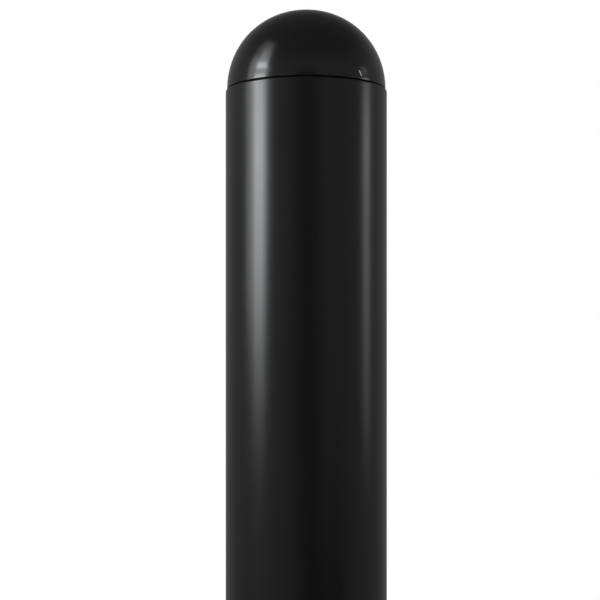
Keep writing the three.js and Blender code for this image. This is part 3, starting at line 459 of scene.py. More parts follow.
def run_tree(tree, mesh, inputs):
    """The mesh that a tree makes of another mesh, with the tree's inputs set by name."""
    holder = hold(mesh)
    modifier = holder.modifiers.new("shape", "NODES")
    modifier.node_group = tree
    identifiers = {
        item.name: item.identifier
        for item in tree.interface.items_tree
        if item.item_type == "SOCKET" and item.in_out == "INPUT"
    }
    for name, value in inputs.items():
        modifier[identifiers[name]] = value
    return take_mesh(holder)


def modified(mesh, kind, **settings):
    """The mesh that a modifier makes of another mesh."""
    holder = hold(mesh)
    modifier = holder.modifiers.new("shape", kind)
    for name, value in settings.items():
        setattr(modifier, name, value)
    return take_mesh(holder)


def take_mesh(holder):
    """The evaluated mesh of an object, as a mesh of its own; the object is removed."""
    graph = bpy.context.evaluated_depsgraph_get()
    mesh = bpy.data.meshes.new_from_object(holder.evaluated_get(graph))
    bpy.data.objects.remove(holder)
    return mesh


TURNING = make_turning_tree()
CIRCLE_OF_COPIES = make_circle_tree()
TREAD = make_tread_tree()
RIBBED_BAR = make_ribbed_bar_tree()


# ---------- Mesh helpers ----------

def face_outwards(mesh):
    """Turns a closed mesh's faces out, when its volume says that they face in."""
    shape = bmesh.new()
    shape.from_mesh(mesh)
    if shape.calc_volume(signed=True) < 0:
        bmesh.ops.reverse_faces(shape, faces=shape.faces[:])
    shape.to_mesh(mesh)
    shape.free()
    return mesh


# Points nearer than this to the axis, or to one another, are taken to be on it, or as one.
ON_AXIS = 1e-7
SAME_POINT = 2e-6


def turned(outline, place=WHERE_BUILT, sides=MIDDLE_SIDES):
    """A solid of revolution about its place's Z, from (radius, height) points. An outline
    that starts and ends on the axis is left open there; any other is a closed loop."""
    mesh = bpy.data.meshes.new("outline")
    last = len(outline) - 1
    edges = [(i, i + 1) for i in range(last)]
    if outline[0][0] > ON_AXIS or outline[-1][0] > ON_AXIS:
        edges.append((last, 0))
    mesh.from_pydata([(r - TURN_CIRCLE_R, -z, 0) for r, z in outline], edges, [])
    made = face_outwards(run_tree(TURNING, mesh, {"Sides": sides}))
    made.transform(place)
    return made


def cad_outline(node, place=WHERE_BUILT):
    """The outline of a turned CAD node, cut at X 0 on the +Y side of its place."""
    shape = bmesh.new()
    shape.from_mesh(frame["nodes"][node].data)
    shape.transform(place.inverted())
    bmesh.ops.remove_doubles(shape, verts=shape.verts[:], dist=SAME_POINT)
    everything = shape.verts[:] + shape.edges[:] + shape.faces[:]
    cut = bmesh.ops.bisect_plane(
        shape, geom=everything, dist=SAME_POINT, plane_co=(0, 0, 0), plane_no=(1, 0, 0)
    )
    pieces = []
    for edge in cut["geom_cut"]:
        if isinstance(edge, bmesh.types.BMEdge):
            a, b = (Vector((v.co.y, v.co.z)) for v in edge.verts)
            if a.x < b.x:
                a, b = b, a
            if a.x <= 1e-6:
                continue
            if b.x < 0:
                b = a + (b - a) * (a.x / (a.x - b.x))
            pieces.append((a, b))
    shape.free()
    return chain(pieces)


def chain(pieces):
    """Joins loose edges into one run of points, without those in the middle of a line."""
    def key(point):
        return round(point.x * 2e5), round(point.y * 2e5)

    ends = {}
    for a, b in pieces:
        ends.setdefault(key(a), []).append(key(b))
        ends.setdefault(key(b), []).append(key(a))
    points = {key(p): p for piece in pieces for p in piece}
    loose = [k for k, others in ends.items() if len(others) == 1]
    run = [loose[0] if loose else next(iter(ends))]
    before = None
    while True:
        onward = [k for k in ends[run[-1]] if k != before]
        if not onward or onward[0] == run[0]:
            break
        before = run[-1]
        run.append(onward[0])
    outline = [(max(points[k].x, 0.0), points[k].y) for k in run]
    return drop_straight(outline, closed=not loose)


def drop_straight(outline, closed):
    """An outline without the points where it hardly turns."""
    least_turn = 0.01
    kept = []
    count = len(outline)
    for i, point in enumerate(outline):
        here = Vector(point)
        if closed or 0 < i < count - 1:
            into = here - Vector(outline[i - 1])
            out = Vector(outline[(i + 1) % count]) - here
            if into.length < 1e-6 or abs(into.angle_signed(out, 0)) < least_turn:
                continue
        kept.append(point)
    return kept


def softened(outline, width, steps=3):
    """An outline with a small round at each sharp corner off the axis."""
    closed = outline[0][0] > ON_AXIS or outline[-1][0] > ON_AXIS
    count = len(outline)
    result = []
    for i, point in enumerate(outline):
        here = Vector(point)
        if not closed and i in (0, count - 1):
            result.append(point)
            continue
        into = Vector(outline[i - 1]) - here
        out = Vector(outline[(i + 1) % count]) - here
        bend = math.pi - into.angle(out)
        if bend < math.radians(25) or here.x < 1e-6:
            result.append(point)
            continue
        reach = min(width, 0.4 * into.length, 0.4 * out.length)
        first = here + into.normalized() * reach
        last = here + out.normalized() * reach
        for step in range(steps + 1):
            t = step / steps
            p = first * (1 - t) ** 2 + here * 2 * t * (1 - t) + last * t * t
            result.append((p.x, p.y))
    return result


def drawn_between(bottom, top):
    """A solid between two rings of points that pair up."""
    count = len(bottom)
    faces = [tuple(range(count))[::-1], tuple(range(count, 2 * count))]
    faces += [(i, (i + 1) % count, (i + 1) % count + count, i + count) for i in range(count)]
    mesh = bpy.data.meshes.new("solid")
    mesh.from_pydata(bottom + top, [], faces)
    return face_outwards(mesh)


def prism(outline, bottom, top):
    """A flat (x, y) outline drawn up from one height to another."""
    return drawn_between([(x, y, bottom) for x, y in outline], [(x, y, top) for x, y in outline])


def block(low, high):
    corners = [(low[0], low[1]), (high[0], low[1]), (high[0], high[1]), (low[0], high[1])]
    return prism(corners, low[2], high[2])


def arc(centre, radius, start, end, steps=12):
    """Points along an arc, both ends included, with the angles in degrees."""
    points = []
    for i in range(steps + 1):
        angle = math.radians(start + (end - start) * i / steps)
        points.append(
            (centre[0] + radius * math.cos(angle), centre[1] + radius * math.sin(angle))
        )
    return points


def rounded_rectangle(x0, x1, y0, y1, radius):
    corners = (
        ((x1 - radius, y0 + radius), -90),
        ((x1 - radius, y1 - radius), 0),
        ((x0 + radius, y1 - radius), 90),
        ((x0 + radius, y0 + radius), 180),
    )
    return [
        point
        for centre, start in corners
        for point in arc(centre, radius, start, start + 90, 8)
    ]


def rod(radius, low, high, place=WHERE_BUILT, sides=48):
    outline = [(0, low), (radius, low), (radius, high), (0, high)]
    return turned(outline, place, sides)


def combined(*meshes):
    """Several meshes as one, with nothing joined or cut."""
    shape = bmesh.new()
    for mesh in meshes:
        shape.from_mesh(mesh)
    mesh = bpy.data.meshes.new("combined")
    shape.to_mesh(mesh)
    shape.free()
    return mesh


def with_boolean(mesh, tool, operation):
    tool_holder = hold(tool)
    result = modified(mesh, "BOOLEAN", operation=operation, object=tool_holder, solver="EXACT")
    bpy.data.objects.remove(tool_holder)
    return result


def cut(mesh, *tools):
    """The mesh with tools taken out of it. The tools must not overlap one another."""
    return with_boolean(mesh, combined(*tools), "DIFFERENCE")


def united(mesh, *others):
    for other in others:
        mesh = with_boolean(mesh, other, "UNION")
    return mesh


def eased(mesh, width, steps=2, angle=30):
    """The mesh with its sharp edges rounded."""
    return modified(
        mesh,
        "BEVEL",
        width=width,
        segments=steps,
        limit_method="ANGLE",
        angle_limit=math.radians(angle),
    )


def cad_shape(node, width):
    """A copy of a CAD node's own shape, merged, with its flat faces whole and edges eased."""
    shape = bmesh.new()
    shape.from_mesh(frame["nodes"][node].data)
    bmesh.ops.remove_doubles(shape, verts=shape.verts[:], dist=SAME_POINT)
    bmesh.ops.dissolve_limit(
        shape, angle_limit=math.radians(1), verts=shape.verts[:], edges=shape.edges[:]
    )
    mesh = bpy.data.meshes.new(node)
    shape.to_mesh(mesh)
    shape.free()
    return eased(mesh, width)


def along_x(x=0.0, y=0.0, z=0.0):
    """A place whose Z runs along the model's X."""
    return Matrix.Translation((x, y, z)) @ Matrix.Rotation(math.pi / 2, 4, "Y")


def at(x=0.0, y=0.0, z=0.0):
    return Matrix.Translation((x, y, z))


def add_piece(name, mesh, body, material, nodes, sharp=32):
    """Puts a finished mesh in the scene, riding on its body in place of its CAD nodes."""
    mesh.polygons.foreach_set("use_smooth", [True] * len(mesh.polygons))
    mesh.set_sharp_from_angle(angle=math.radians(sharp))
    # The large faces lead the shading, so that the eased edges look narrow.
    mesh = modified(mesh, "WEIGHTED_NORMAL", keep_sharp=True)
    mesh.name = name
    mesh.materials.clear()
    mesh.materials.append(material)
    mesh.polygons.foreach_set("material_index", [0] * len(mesh.polygons))
    piece = bpy.data.objects.new(name, mesh)
    scene.collection.objects.link(piece)
    if body != "post":
        metalwork.objects.link(piece)
    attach(piece, body)
    if nodes:
        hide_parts(*nodes)
    return piece


# ---------- Shared effects ----------

def make_edge_wear():
    """Where an edge stands out, broken up by noise: 1 where the finish has rubbed."""
    tree, given = new_tree(
        "Edge wear",
        "ShaderNodeTree",
        {"Width": ("Float", 0.6 * MM), "Amount": ("Float", 0.5), "Patch scale": ("Float", 120.0)},
        {"Mask": "Float"},
    )
    strength = 14.0
    edge = add_node(tree, "ShaderNodeBevel", {"Radius": given["Width"]}, samples=4)
    surface = add_node(tree, "ShaderNodeNewGeometry")
    likeness = vector_node(
        tree, "DOT_PRODUCT", edge.outputs["Normal"], surface.outputs["Normal"], "Value"
    )
    bend = math_node(tree, "SUBTRACT", 1.0, likeness)
    patches = noise(tree, object_spot(tree), given["Patch scale"], 4.0, 0.6)
    rubbed = held(tree, product(tree, bend, patches, strength))
    end_group(tree, Mask=product(tree, rubbed, given["Amount"]))
    return tree


def make_grain():
    """Fine surface grain as a height for bump, and a slow mask for variation."""
    tree, given = new_tree(
        "Surface grain",
        "ShaderNodeTree",
        {
            "Fine scale": ("Float", 900.0),
            "Slow scale": ("Float", 12.0),
            "Stretch": ("Vector", (1.0, 1.0, 1.0)),
        },
        {"Height": "Float", "Slow": "Float"},
    )
    spot = object_spot(tree)
    drawn = vector_node(tree, "MULTIPLY", spot, given["Stretch"])
    fine = noise(tree, drawn, given["Fine scale"], 3.0)
    end_group(tree, Height=fine, Slow=noise(tree, spot, given["Slow scale"], 5.0, 0.65))
    return tree


def make_dust():
    """Pale dust and dried splashes, thickest at grade and gone by the top height."""
    tree, given = new_tree(
        "Street dust",
        "ShaderNodeTree",
        {
            "Top height": ("Float", 0.25),
            "Amount": ("Float", 0.3),
            "Speck scale": ("Float", 260.0),
        },
        {"Mask": "Float"},
    )
    cloud_scale, strength = 22.0, 4.0
    spot = object_spot(tree)
    height = add_node(tree, "ShaderNodeSeparateXYZ", {"Vector": spot}).outputs["Z"]
    share = math_node(tree, "DIVIDE", height, given["Top height"])
    near = held(tree, math_node(tree, "SUBTRACT", 1.0, math_node(tree, "ABSOLUTE", share)))
    cloud = noise(tree, spot, cloud_scale, 6.0)
    specks = noise(tree, spot, given["Speck scale"], 2.0)
    dusty = held(tree, product(tree, cloud, specks, near, strength))
    end_group(tree, Mask=product(tree, dusty, given["Amount"]))
    return tree


def make_scratches():
    """Thin hairlines, as handling and brushing leave them. They run across the axes that
    the stretch makes largest."""
    tree, given = new_tree(
        "Hairlines",
        "ShaderNodeTree",
        {
            "Scale": ("Float", 60.0),
            "Stretch": ("Vector", (1.0, 1.0, 1.0)),
            "Threshold": ("Float", 0.66),
        },
        {"Mask": "Float"},
    )
    strength = 9.0
    drawn = vector_node(tree, "MULTIPLY", object_spot(tree), given["Stretch"])
    lines = noise(tree, drawn, given["Scale"], 6.0, 0.75)
    above = math_node(tree, "SUBTRACT", lines, given["Threshold"])
    end_group(tree, Mask=held(tree, product(tree, above, strength)))
    return tree


def make_scuff():
    """One short pale scratch from a point along a run, ragged along its edges."""
    tree, given = new_tree(
        "Scuff",
        "ShaderNodeTree",
        {
            "Start": ("Vector",),
            "Run": ("Vector",),
            "Width": ("Float", 0.6 * MM),
            "Amount": ("Float", 0.5),
        },
        {"Mask": "Float"},
    )
    ragged_scale, least_width, strength = 1400.0, 0.3, 1.8
    spot = object_spot(tree)
    offset = vector_node(tree, "SUBTRACT", spot, given["Start"])
    reached = vector_node(tree, "DOT_PRODUCT", offset, given["Run"], "Value")
    whole = vector_node(tree, "DOT_PRODUCT", given["Run"], given["Run"], "Value")
    along = held(tree, math_node(tree, "DIVIDE", reached, whole))
    line = add_node(
        tree, "ShaderNodeVectorMath", {0: given["Run"], "Scale": along}, operation="SCALE"
    )
    away = vector_node(tree, "DISTANCE", offset, line.outputs["Vector"], "Value")
    ragged = math_node(tree, "ADD", noise(tree, spot, ragged_scale, 2.0), least_width)
    reach = product(tree, given["Width"], ragged)
    inside = math_node(tree, "SUBTRACT", 1.0, math_node(tree, "DIVIDE", away, reach))
    mark = held(tree, product(tree, inside, strength))
    end_group(tree, Mask=product(tree, mark, given["Amount"]))
    return tree


EDGE_WEAR = make_edge_wear()
SCUFF = make_scuff()
GRAIN = make_grain()
DUST = make_dust()
HAIRLINES = make_scratches()


# ---------- Material helpers ----------

def effect(tree, group, **inputs):
    """A shared effect placed in a material, its inputs given with _ for each space."""
    node = add_node(tree, "ShaderNodeGroup", node_tree=group)
    for name, value in inputs.items():
        node.inputs[name.replace("_", " ")].default_value = value
    return node.outputs


def blend_colours(tree, mask, below, above):
    """One colour, or colour socket, over another by a mask."""
    node = add_node(tree, "ShaderNodeMix", {0: mask}, data_type="RGBA")
    for socket, value in ((node.inputs[6], below), (node.inputs[7], above)):
        linked = isinstance(value, bpy.types.NodeSocket)
        set_input(tree, socket, value if linked else (*value, 1.0))
    return node.outputs[2]


def spread(tree, value, low, high):
    """A mask from 0.3 to 0.7 stretched over a range, for roughness and the like."""
    node = add_node(
        tree,
        "ShaderNodeMapRange",
        {"Value": value, "From Min": 0.3, "From Max": 0.7, "To Min": low, "To Max": high},
    )
    return node.outputs[0]


def new_material(name, **constants):
    """A Principled material with its constant inputs set, and its tree and shader."""
    material = bpy.data.materials.new(name)
    material.use_nodes = True
    tree = material.node_tree
    shader = tree.nodes["Principled BSDF"]
    for socket, value in constants.items():
        shader.inputs[socket.replace("_", " ")].default_value = value
    return material, tree, shader


def feed(tree, shader, **links):
    for socket, value in links.items():
        tree.links.new(value, shader.inputs[socket.replace("_", " ")])


def bumped(tree, shader, height, strength, distance):
    bump = add_node(
        tree, "ShaderNodeBump", {"Height": height, "Strength": strength, "Distance": distance}
    )
    tree.links.new(bump.outputs["Normal"], shader.inputs["Normal"])


# ---------- Materials ----------

def make_powder_coat():
    """Satin black polyester powder coat, with a fine orange peel and dust near the ground."""
    material, tree, shader = new_material("Black powder coat", Specular_IOR_Level=0.5)
    grain = effect(tree, GRAIN, Fine_scale=420.0, Slow_scale=9.0)
    dust = effect(tree, DUST, Top_height=0.2, Amount=0.22)
    worn = effect(tree, EDGE_WEAR, Width=0.5 * MM, Amount=0.35, Patch_scale=160.0)
    black = blend_colours(tree, grain["Slow"], (0.0032, 0.0033, 0.0035), (0.0046, 0.0046, 0.0048))
    rubbed = blend_colours(tree, worn["Mask"], black, (0.035, 0.035, 0.037))
    dusty = blend_colours(tree, dust["Mask"], rubbed, (0.20, 0.185, 0.165))
    rough = math_node(tree, "MAXIMUM", spread(tree, grain["Slow"], 0.225, 0.265), dust["Mask"])
    feed(tree, shader, Base_Color=dusty, Roughness=rough)
    bumped(tree, shader, grain["Height"], 0.05, 0.05 * MM)
    return material


def make_moulded_black():
    """Semi-gloss black moulded plastic, smoother than the tube, with faint handling marks
    and one pale scuff by the foot of the dome."""
    material, tree, shader = new_material("Moulded black cap", Specular_IOR_Level=0.5)
    grain = effect(tree, GRAIN, Fine_scale=260.0, Slow_scale=16.0)
    marks = effect(tree, HAIRLINES, Scale=55.0, Stretch=(1.0, 1.0, 5.0), Threshold=0.7)
    worn = effect(tree, EDGE_WEAR, Width=0.4 * MM, Amount=0.3, Patch_scale=210.0)
    scuff = effect(
        tree,
        SCUFF,
        Start=(0.0357, -0.0431, SEAM_Z + 6.2 * MM),
        Run=(1.4 * MM, 1.0 * MM, -2.7 * MM),
        Width=0.75 * MM,
        Amount=1.0,
    )
    black = blend_colours(tree, grain["Slow"], (0.0042, 0.0042, 0.0044), (0.0060, 0.0060, 0.0062))
    marked = blend_colours(tree, worn["Mask"], black, (0.05, 0.05, 0.052))
    scuffed = blend_colours(tree, scuff["Mask"], marked, (0.42, 0.42, 0.42))
    hairline_rough = math_node(tree, "MULTIPLY", marks["Mask"], 0.2)
    rough = math_node(tree, "ADD", spread(tree, grain["Slow"], 0.15, 0.2), hairline_rough)
    dulled = math_node(tree, "MULTIPLY_ADD", scuff["Mask"], 0.3, rough)
    feed(tree, shader, Base_Color=scuffed, Roughness=dulled)
    bumped(tree, shader, grain["Height"], 0.04, 0.04 * MM)
    return material


def make_galvanised():
    """Hot-dip galvanised steel: zinc spangle, cloudy roughness and dull white bloom."""
    material, tree, shader = new_material("Galvanised steel", Metallic=0.9)
    spot = object_spot(tree)
    spangle = add_node(
        tree, "ShaderNodeTexVoronoi", {"Vector": spot, "Scale": 110.0, "Randomness": 1.0}
    )
    facet = add_node(tree, "ShaderNodeSeparateColor", {"Color": spangle.outputs["Color"]})
    grain = effect(tree, GRAIN, Fine_scale=700.0, Slow_scale=14.0)
    worn = effect(tree, EDGE_WEAR, Width=0.6 * MM, Amount=0.6, Patch_scale=90.0)
    zinc = blend_colours(tree, facet.outputs[0], (0.29, 0.31, 0.33), (0.42, 0.44, 0.455))
    bloom = spread(tree, grain["Slow"], 0.0, 0.55)
    cloudy = blend_colours(tree, bloom, zinc, (0.47, 0.48, 0.48))
    bright = blend_colours(tree, worn["Mask"], cloudy, (0.6, 0.61, 0.62))
    rough = math_node(
        tree, "MULTIPLY_ADD", facet.outputs[1], 0.14, spread(tree, grain["Slow"], 0.34, 0.56)
    )
    feed(tree, shader, Base_Color=bright, Roughness=rough)
    bumped(tree, shader, grain["Height"], 0.12, 0.08 * MM)
    return material


def make_stainless(name, stretch, colour_low, colour_high, rough_low, rough_high):
    """Brushed stainless, with its brushing drawn along one direction and a little dirt."""
    material, tree, shader = new_material(name, Metallic=1.0)
    grain = effect(tree, GRAIN, Fine_scale=600.0, Slow_scale=18.0, Stretch=stretch)
    lines = effect(tree, HAIRLINES, Scale=45.0, Stretch=stretch, Threshold=0.6)
    worn = effect(tree, EDGE_WEAR, Width=0.5 * MM, Amount=0.5, Patch_scale=140.0)
    steel = blend_colours(tree, grain["Height"], colour_low, colour_high)
    dirt = spread(tree, grain["Slow"], 0.0, 0.3)
    dull = blend_colours(tree, dirt, steel, (0.25, 0.245, 0.235))
    bright = blend_colours(tree, worn["Mask"], dull, (0.72, 0.72, 0.71))
    scratched = math_node(tree, "MULTIPLY", lines["Mask"], 0.15)
    rough = math_node(tree, "ADD", spread(tree, grain["Slow"], rough_low, rough_high), scratched)
    feed(tree, shader, Base_Color=bright, Roughness=rough)
    bumped(tree, shader, grain["Height"], 0.1, 0.04 * MM)
    return material


def make_rubber():
    """Matt black rubber with a faint grey bloom and a fine moulded texture."""
    material, tree, shader = new_material("Black rubber", Specular_IOR_Level=0.4)
    grain = effect(tree, GRAIN, Fine_scale=1100.0, Slow_scale=30.0)
    bloom = spread(tree, grain["Slow"], 0.0, 0.7)
    colour = blend_colours(tree, bloom, (0.008, 0.008, 0.008), (0.024, 0.024, 0.023))
    feed(tree, shader, Base_Color=colour, Roughness=spread(tree, grain["Height"], 0.72, 0.9))
    bumped(tree, shader, grain["Height"], 0.25, 0.06 * MM)
    return material


def make_nylon():
    """Turned black nylon, with the fine rings that the lathe tool leaves."""
    material, tree, shader = new_material("Turned nylon", Specular_IOR_Level=0.5)
    spot = object_spot(tree)
    rings = add_node(
        tree,
        "ShaderNodeTexWave",
        {"Vector": spot, "Scale": 900.0, "Distortion": 0.4},
        bands_direction="Z",
    )
    grain = effect(tree, GRAIN, Fine_scale=500.0, Slow_scale=25.0)
    colour = blend_colours(tree, grain["Slow"], (0.012, 0.012, 0.013), (0.022, 0.022, 0.023))
    feed(tree, shader, Base_Color=colour, Roughness=spread(tree, grain["Height"], 0.38, 0.52))
    bumped(tree, shader, rings.outputs["Fac"], 0.15, 0.03 * MM)
    return material


def make_chrome():
    """Hard chrome on the strut's rod, ground and polished, with faint hoop marks of grease."""
    material, tree, shader = new_material("Hard chrome", Metallic=1.0)
    grain = effect(tree, GRAIN, Fine_scale=500.0, Slow_scale=20.0, Stretch=(1.0, 1.0, 8.0))
    colour = blend_colours(tree, grain["Slow"], (0.60, 0.61, 0.62), (0.72, 0.73, 0.74))
    feed(tree, shader, Base_Color=colour, Roughness=spread(tree, grain["Slow"], 0.05, 0.16))
    bumped(tree, shader, grain["Height"], 0.03, 0.01 * MM)
    return material


def make_brass():
    """Machined brass that has dulled, brighter on its worn edges."""
    material, tree, shader = new_material("Dulled brass", Metallic=1.0)
    grain = effect(tree, GRAIN, Fine_scale=800.0, Slow_scale=60.0)
    worn = effect(tree, EDGE_WEAR, Width=0.5 * MM, Amount=0.8, Patch_scale=180.0)
    dull = blend_colours(tree, grain["Slow"], (0.30, 0.19, 0.075), (0.47, 0.32, 0.13))
    colour = blend_colours(tree, worn["Mask"], dull, (0.72, 0.53, 0.25))
    feed(tree, shader, Base_Color=colour, Roughness=spread(tree, grain["Slow"], 0.24, 0.46))
    bumped(tree, shader, grain["Height"], 0.1, 0.03 * MM)
    return material


def make_weld():
    """Weld metal under zinc: dull grey ripples, their tone varying in slow patches."""
    material, tree, shader = new_material("Galvanised weld", Metallic=0.85)
    grain = effect(tree, GRAIN, Fine_scale=900.0, Slow_scale=70.0)
    colour = blend_colours(tree, grain["Slow"], (0.22, 0.23, 0.245), (0.38, 0.39, 0.40))
    feed(tree, shader, Base_Color=colour, Roughness=spread(tree, grain["Height"], 0.42, 0.62))
    bumped(tree, shader, grain["Height"], 0.25, 0.1 * MM)
    return material


POWDER_COAT = make_powder_coat()
MOULDED_BLACK = make_moulded_black()
GALVANISED = make_galvanised()
BRUSHED = make_stainless(
    "Brushed stainless", (1.0, 14.0, 14.0), (0.46, 0.46, 0.455), (0.58, 0.58, 0.575), 0.26, 0.4
)
TURNED_STEEL = make_stainless(
    "Turned stainless", (3.0, 3.0, 16.0), (0.48, 0.48, 0.475), (0.60, 0.60, 0.595), 0.22, 0.34
)
RUBBER = make_rubber()
NYLON = make_nylon()
CHROME = make_chrome()
BRASS = make_brass()
WELD = make_weld()


# ---------- Shapes that several pieces share ----------

def half_width(node):
    return (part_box(node)[1].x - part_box(node)[0].x) / 2


POST_BORE_R = POST_R - POST_WALL
BARREL_HEAD_R = half_width("key_barrel")
BARREL_R = BARREL_HEAD_R - 3 * MM
SCREW_CIRCLE = SLEEVE_R + 5 * MM
BASE_CIRCLE = (SLEEVE_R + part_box("base_plate")[1].x) / 2
FRAME_CORNER = 8 * MM


def cad_turned(node, width, sides=LARGE_SIDES):
    """A turned CAD node made again with more sides, its corners eased."""
    return turned(softened(cad_outline(node), width), sides=sides)


def groove(radius, bottom_r, z, mouth, floor):
    """Outline points of a groove round a piece, from -mouth to +mouth about a height."""
    return [
        (radius, z - mouth),
        (bottom_r, z - floor),
        (bottom_r, z + floor),
        (radius, z + mouth),
    ]


def ring_outline(inner, outer, bottom, top):
    return [(inner, bottom), (outer, bottom), (outer, top), (inner, top)]


def thread(radius, start, end, pitch=1 * MM, depth=0.3 * MM):
    """Outline points down or up a thread, its crests at the radius."""
    turns = max(1, round(abs(end - start) / pitch))
    points = []
    for i in range(turns):
        z = start + (end - start) * i / turns
        onward = (end - start) / turns
        points += [(radius - depth, z + 0.15 * onward), (radius, z + 0.5 * onward)]
        points.append((radius - depth, z + 0.85 * onward))
    return points


def polygon(corner_r, corners, first=0.0):
    return [
        (corner_r * math.cos(a), corner_r * math.sin(a))
        for a in (math.radians(first) + 2 * math.pi * i / corners for i in range(corners))
    ]


def hexagon_block(corner_r, low, high, chamfer=1.2 * MM):
    """A nut or bolt head, its corners turned off at the top and the bottom."""
    blank = prism(polygon(corner_r, 6), low, high)
    turned_off = [
        (0, low - chamfer / 4),
        (corner_r - chamfer, low - chamfer / 4),
        (corner_r + chamfer / 2, low + 0.6 * chamfer),
        (corner_r + chamfer / 2, high - 0.6 * chamfer),
        (corner_r - chamfer, high + chamfer / 4),
        (0, high + chamfer / 4),
    ]
    return with_boolean(blank, turned(turned_off), "INTERSECT")


def copies_round(shape, count, radius, place=WHERE_BUILT, **spread_of):
    """Copies of a shape round its place's Z; a copy's own +X points outwards."""
    inputs = {"Count": count, "Circle radius": radius}
    inputs.update({name.replace("_", " "): value for name, value in spread_of.items()})
    made = run_tree(CIRCLE_OF_COPIES, shape, inputs)
    made.transform(place)
    return made


def holes_round(radius, circle_r, low, high):
    """Four upright cutters, an eighth of a turn off the front."""
    return copies_round(rod(radius, low, high), 4, circle_r)


def bolt_window(inner, outer):
    """A cutter for the window that the lock bolt slides through, on the front side."""
    half = BOLT_WIDTH / 2 + WINDOW_GAP
    opening = rounded_rectangle(
        -half, half, BOLT_LOW.z - WINDOW_GAP, BOLT_HIGH.z + WINDOW_GAP, 2 * MM
    )
    cutter = prism(opening, inner, outer)
    cutter.transform(Matrix.Rotation(math.pi / 2, 4, "X"))
    return cutter


def weld_ripple(width=3.2 * MM, height=2.2 * MM):
    """One ripple of a weld, flattened and wider across the run than along it."""
    outline = [
        (0.5 * width * math.cos(a), 0.5 * height * math.sin(a))
        for a in (math.radians(-90 + 30 * i) for i in range(7))
    ]
    outline[0] = (0, outline[0][1])
    outline[-1] = (0, outline[-1][1])
    ripple = turned(outline, sides=8)
    flattening = 0.75
    ripple.transform(Matrix.Diagonal((1.0, flattening, 1.0, 1.0)))
    return ripple


def weld_round(name, radius, z, body="housing", first=0.0, sweep=2 * math.pi, seed=3):
    """A ring of overlapping weld ripples where a tube meets a plate."""
    ripple_pitch = 1.7 * MM
    count = round(sweep * radius / ripple_pitch)
    bead = copies_round(
        weld_ripple(),
        count,
        radius,
        at(z=z),
        First_angle=first,
        Sweep=sweep,
        Turn_spread=0.3,
        Size_spread=0.18,
        Seed=seed,
    )
    add_piece(name, bead, body, WELD, [])


def numbered(name, count):
    return [f"{name}_{i + 1}" for i in range(count)]


# ---------- Post ----------

def superellipse(radius, rise, steps):
    """A quarter outline from the foot up to the crown."""
    power = 2 / DOME_POWER
    points = []
    for i in range(steps):
        a = i / steps * math.pi / 2
        points.append((radius * math.cos(a) ** power, rise * math.sin(a) ** power))
    return points + [(0.0, rise)]


def make_post_tube():
    low = TUBE_LOW.z
    foot_ease, lip_ease = 0.6 * MM, 0.5 * MM
    rounding = arc((POST_R - TUBE_EDGE, SEAM_Z - TUBE_EDGE), TUBE_EDGE, 0, 90, 10)
    foot = [(POST_BORE_R, low + foot_ease), (POST_BORE_R + foot_ease, low)]
    heel = [(POST_R - foot_ease, low), (POST_R, low + foot_ease)]
    lip = [(POST_BORE_R + lip_ease, SEAM_Z), (POST_BORE_R, SEAM_Z - lip_ease)]
    tube = turned(foot + heel + rounding + lip, sides=POST_SIDES)
    tube = cut(tube, bolt_window(POST_BORE_R / 2, POST_R + PAST))
    add_piece("post_tube_coated", tube, "post", POWDER_COAT, ["post_tube"])


SPIGOT_R = POST_BORE_R - 1.6 * MM
SPIGOT_DEPTH = 28 * MM
O_RING_R = 1.7 * MM
O_RING_Z = (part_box("cap_o_ring")[0].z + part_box("cap_o_ring")[1].z) / 2


def make_dome_cap():
    foot_z = DOME_TOP - DOME_RISE
    bottom = SEAM_Z - SPIGOT_DEPTH
    groove_r = POST_BORE_R - 2 * FIT - 2 * O_RING_R
    groove_low, groove_high = O_RING_Z - O_RING_R - FIT, O_RING_Z + O_RING_R + FIT
    bore_r = SPIGOT_R - DOME_WALL
    spigot = [
        (bore_r + 0.5 * MM, bottom),
        (SPIGOT_R - 1.2 * MM, bottom),
        (SPIGOT_R, bottom + 3 * MM),
        (SPIGOT_R, groove_low),
        (groove_r, groove_low),
        (groove_r, groove_high),
        (SPIGOT_R, groove_high),
        (SPIGOT_R, foot_z),
    ]
    foot_r = POST_R - DOME_INSET
    edge = 0.35 * MM
    eased_foot = [(foot_r - edge, foot_z), (foot_r - 0.3 * edge, foot_z + 0.3 * edge)]
    outside = [(r, foot_z + h) for r, h in superellipse(foot_r, DOME_RISE, 60)]
    outside[0] = (foot_r, foot_z + edge)
    inside = [(r, foot_z + h) for r, h in superellipse(bore_r, DOME_RISE - DOME_WALL, 24)]
    # The shell's outline runs from the crown's inside, down and round, to its outside.
    shell = turned(inside[::-1] + spigot + eased_foot + outside, sides=POST_SIDES)
    rib_low, rib_high = bottom + 1.5 * MM, groove_low - FIT
    rib = block((-1 * MM, -1.5 * MM, rib_low), (1 * MM, 1.5 * MM, rib_high))
    ribs = copies_round(eased(rib, 0.4 * MM), 12, SPIGOT_R)
    cap = combined(shell, ribs)
    add_piece("dome_cap_moulded", cap, "post", MOULDED_BLACK, ["dome_cap"])

    section = arc((POST_BORE_R - FIT - O_RING_R, O_RING_Z), O_RING_R, 0, 345, 23)
    o_ring = turned(section, sides=LARGE_SIDES)
    add_piece("cap_o_ring_rubber", o_ring, "post", RUBBER, ["cap_o_ring"])


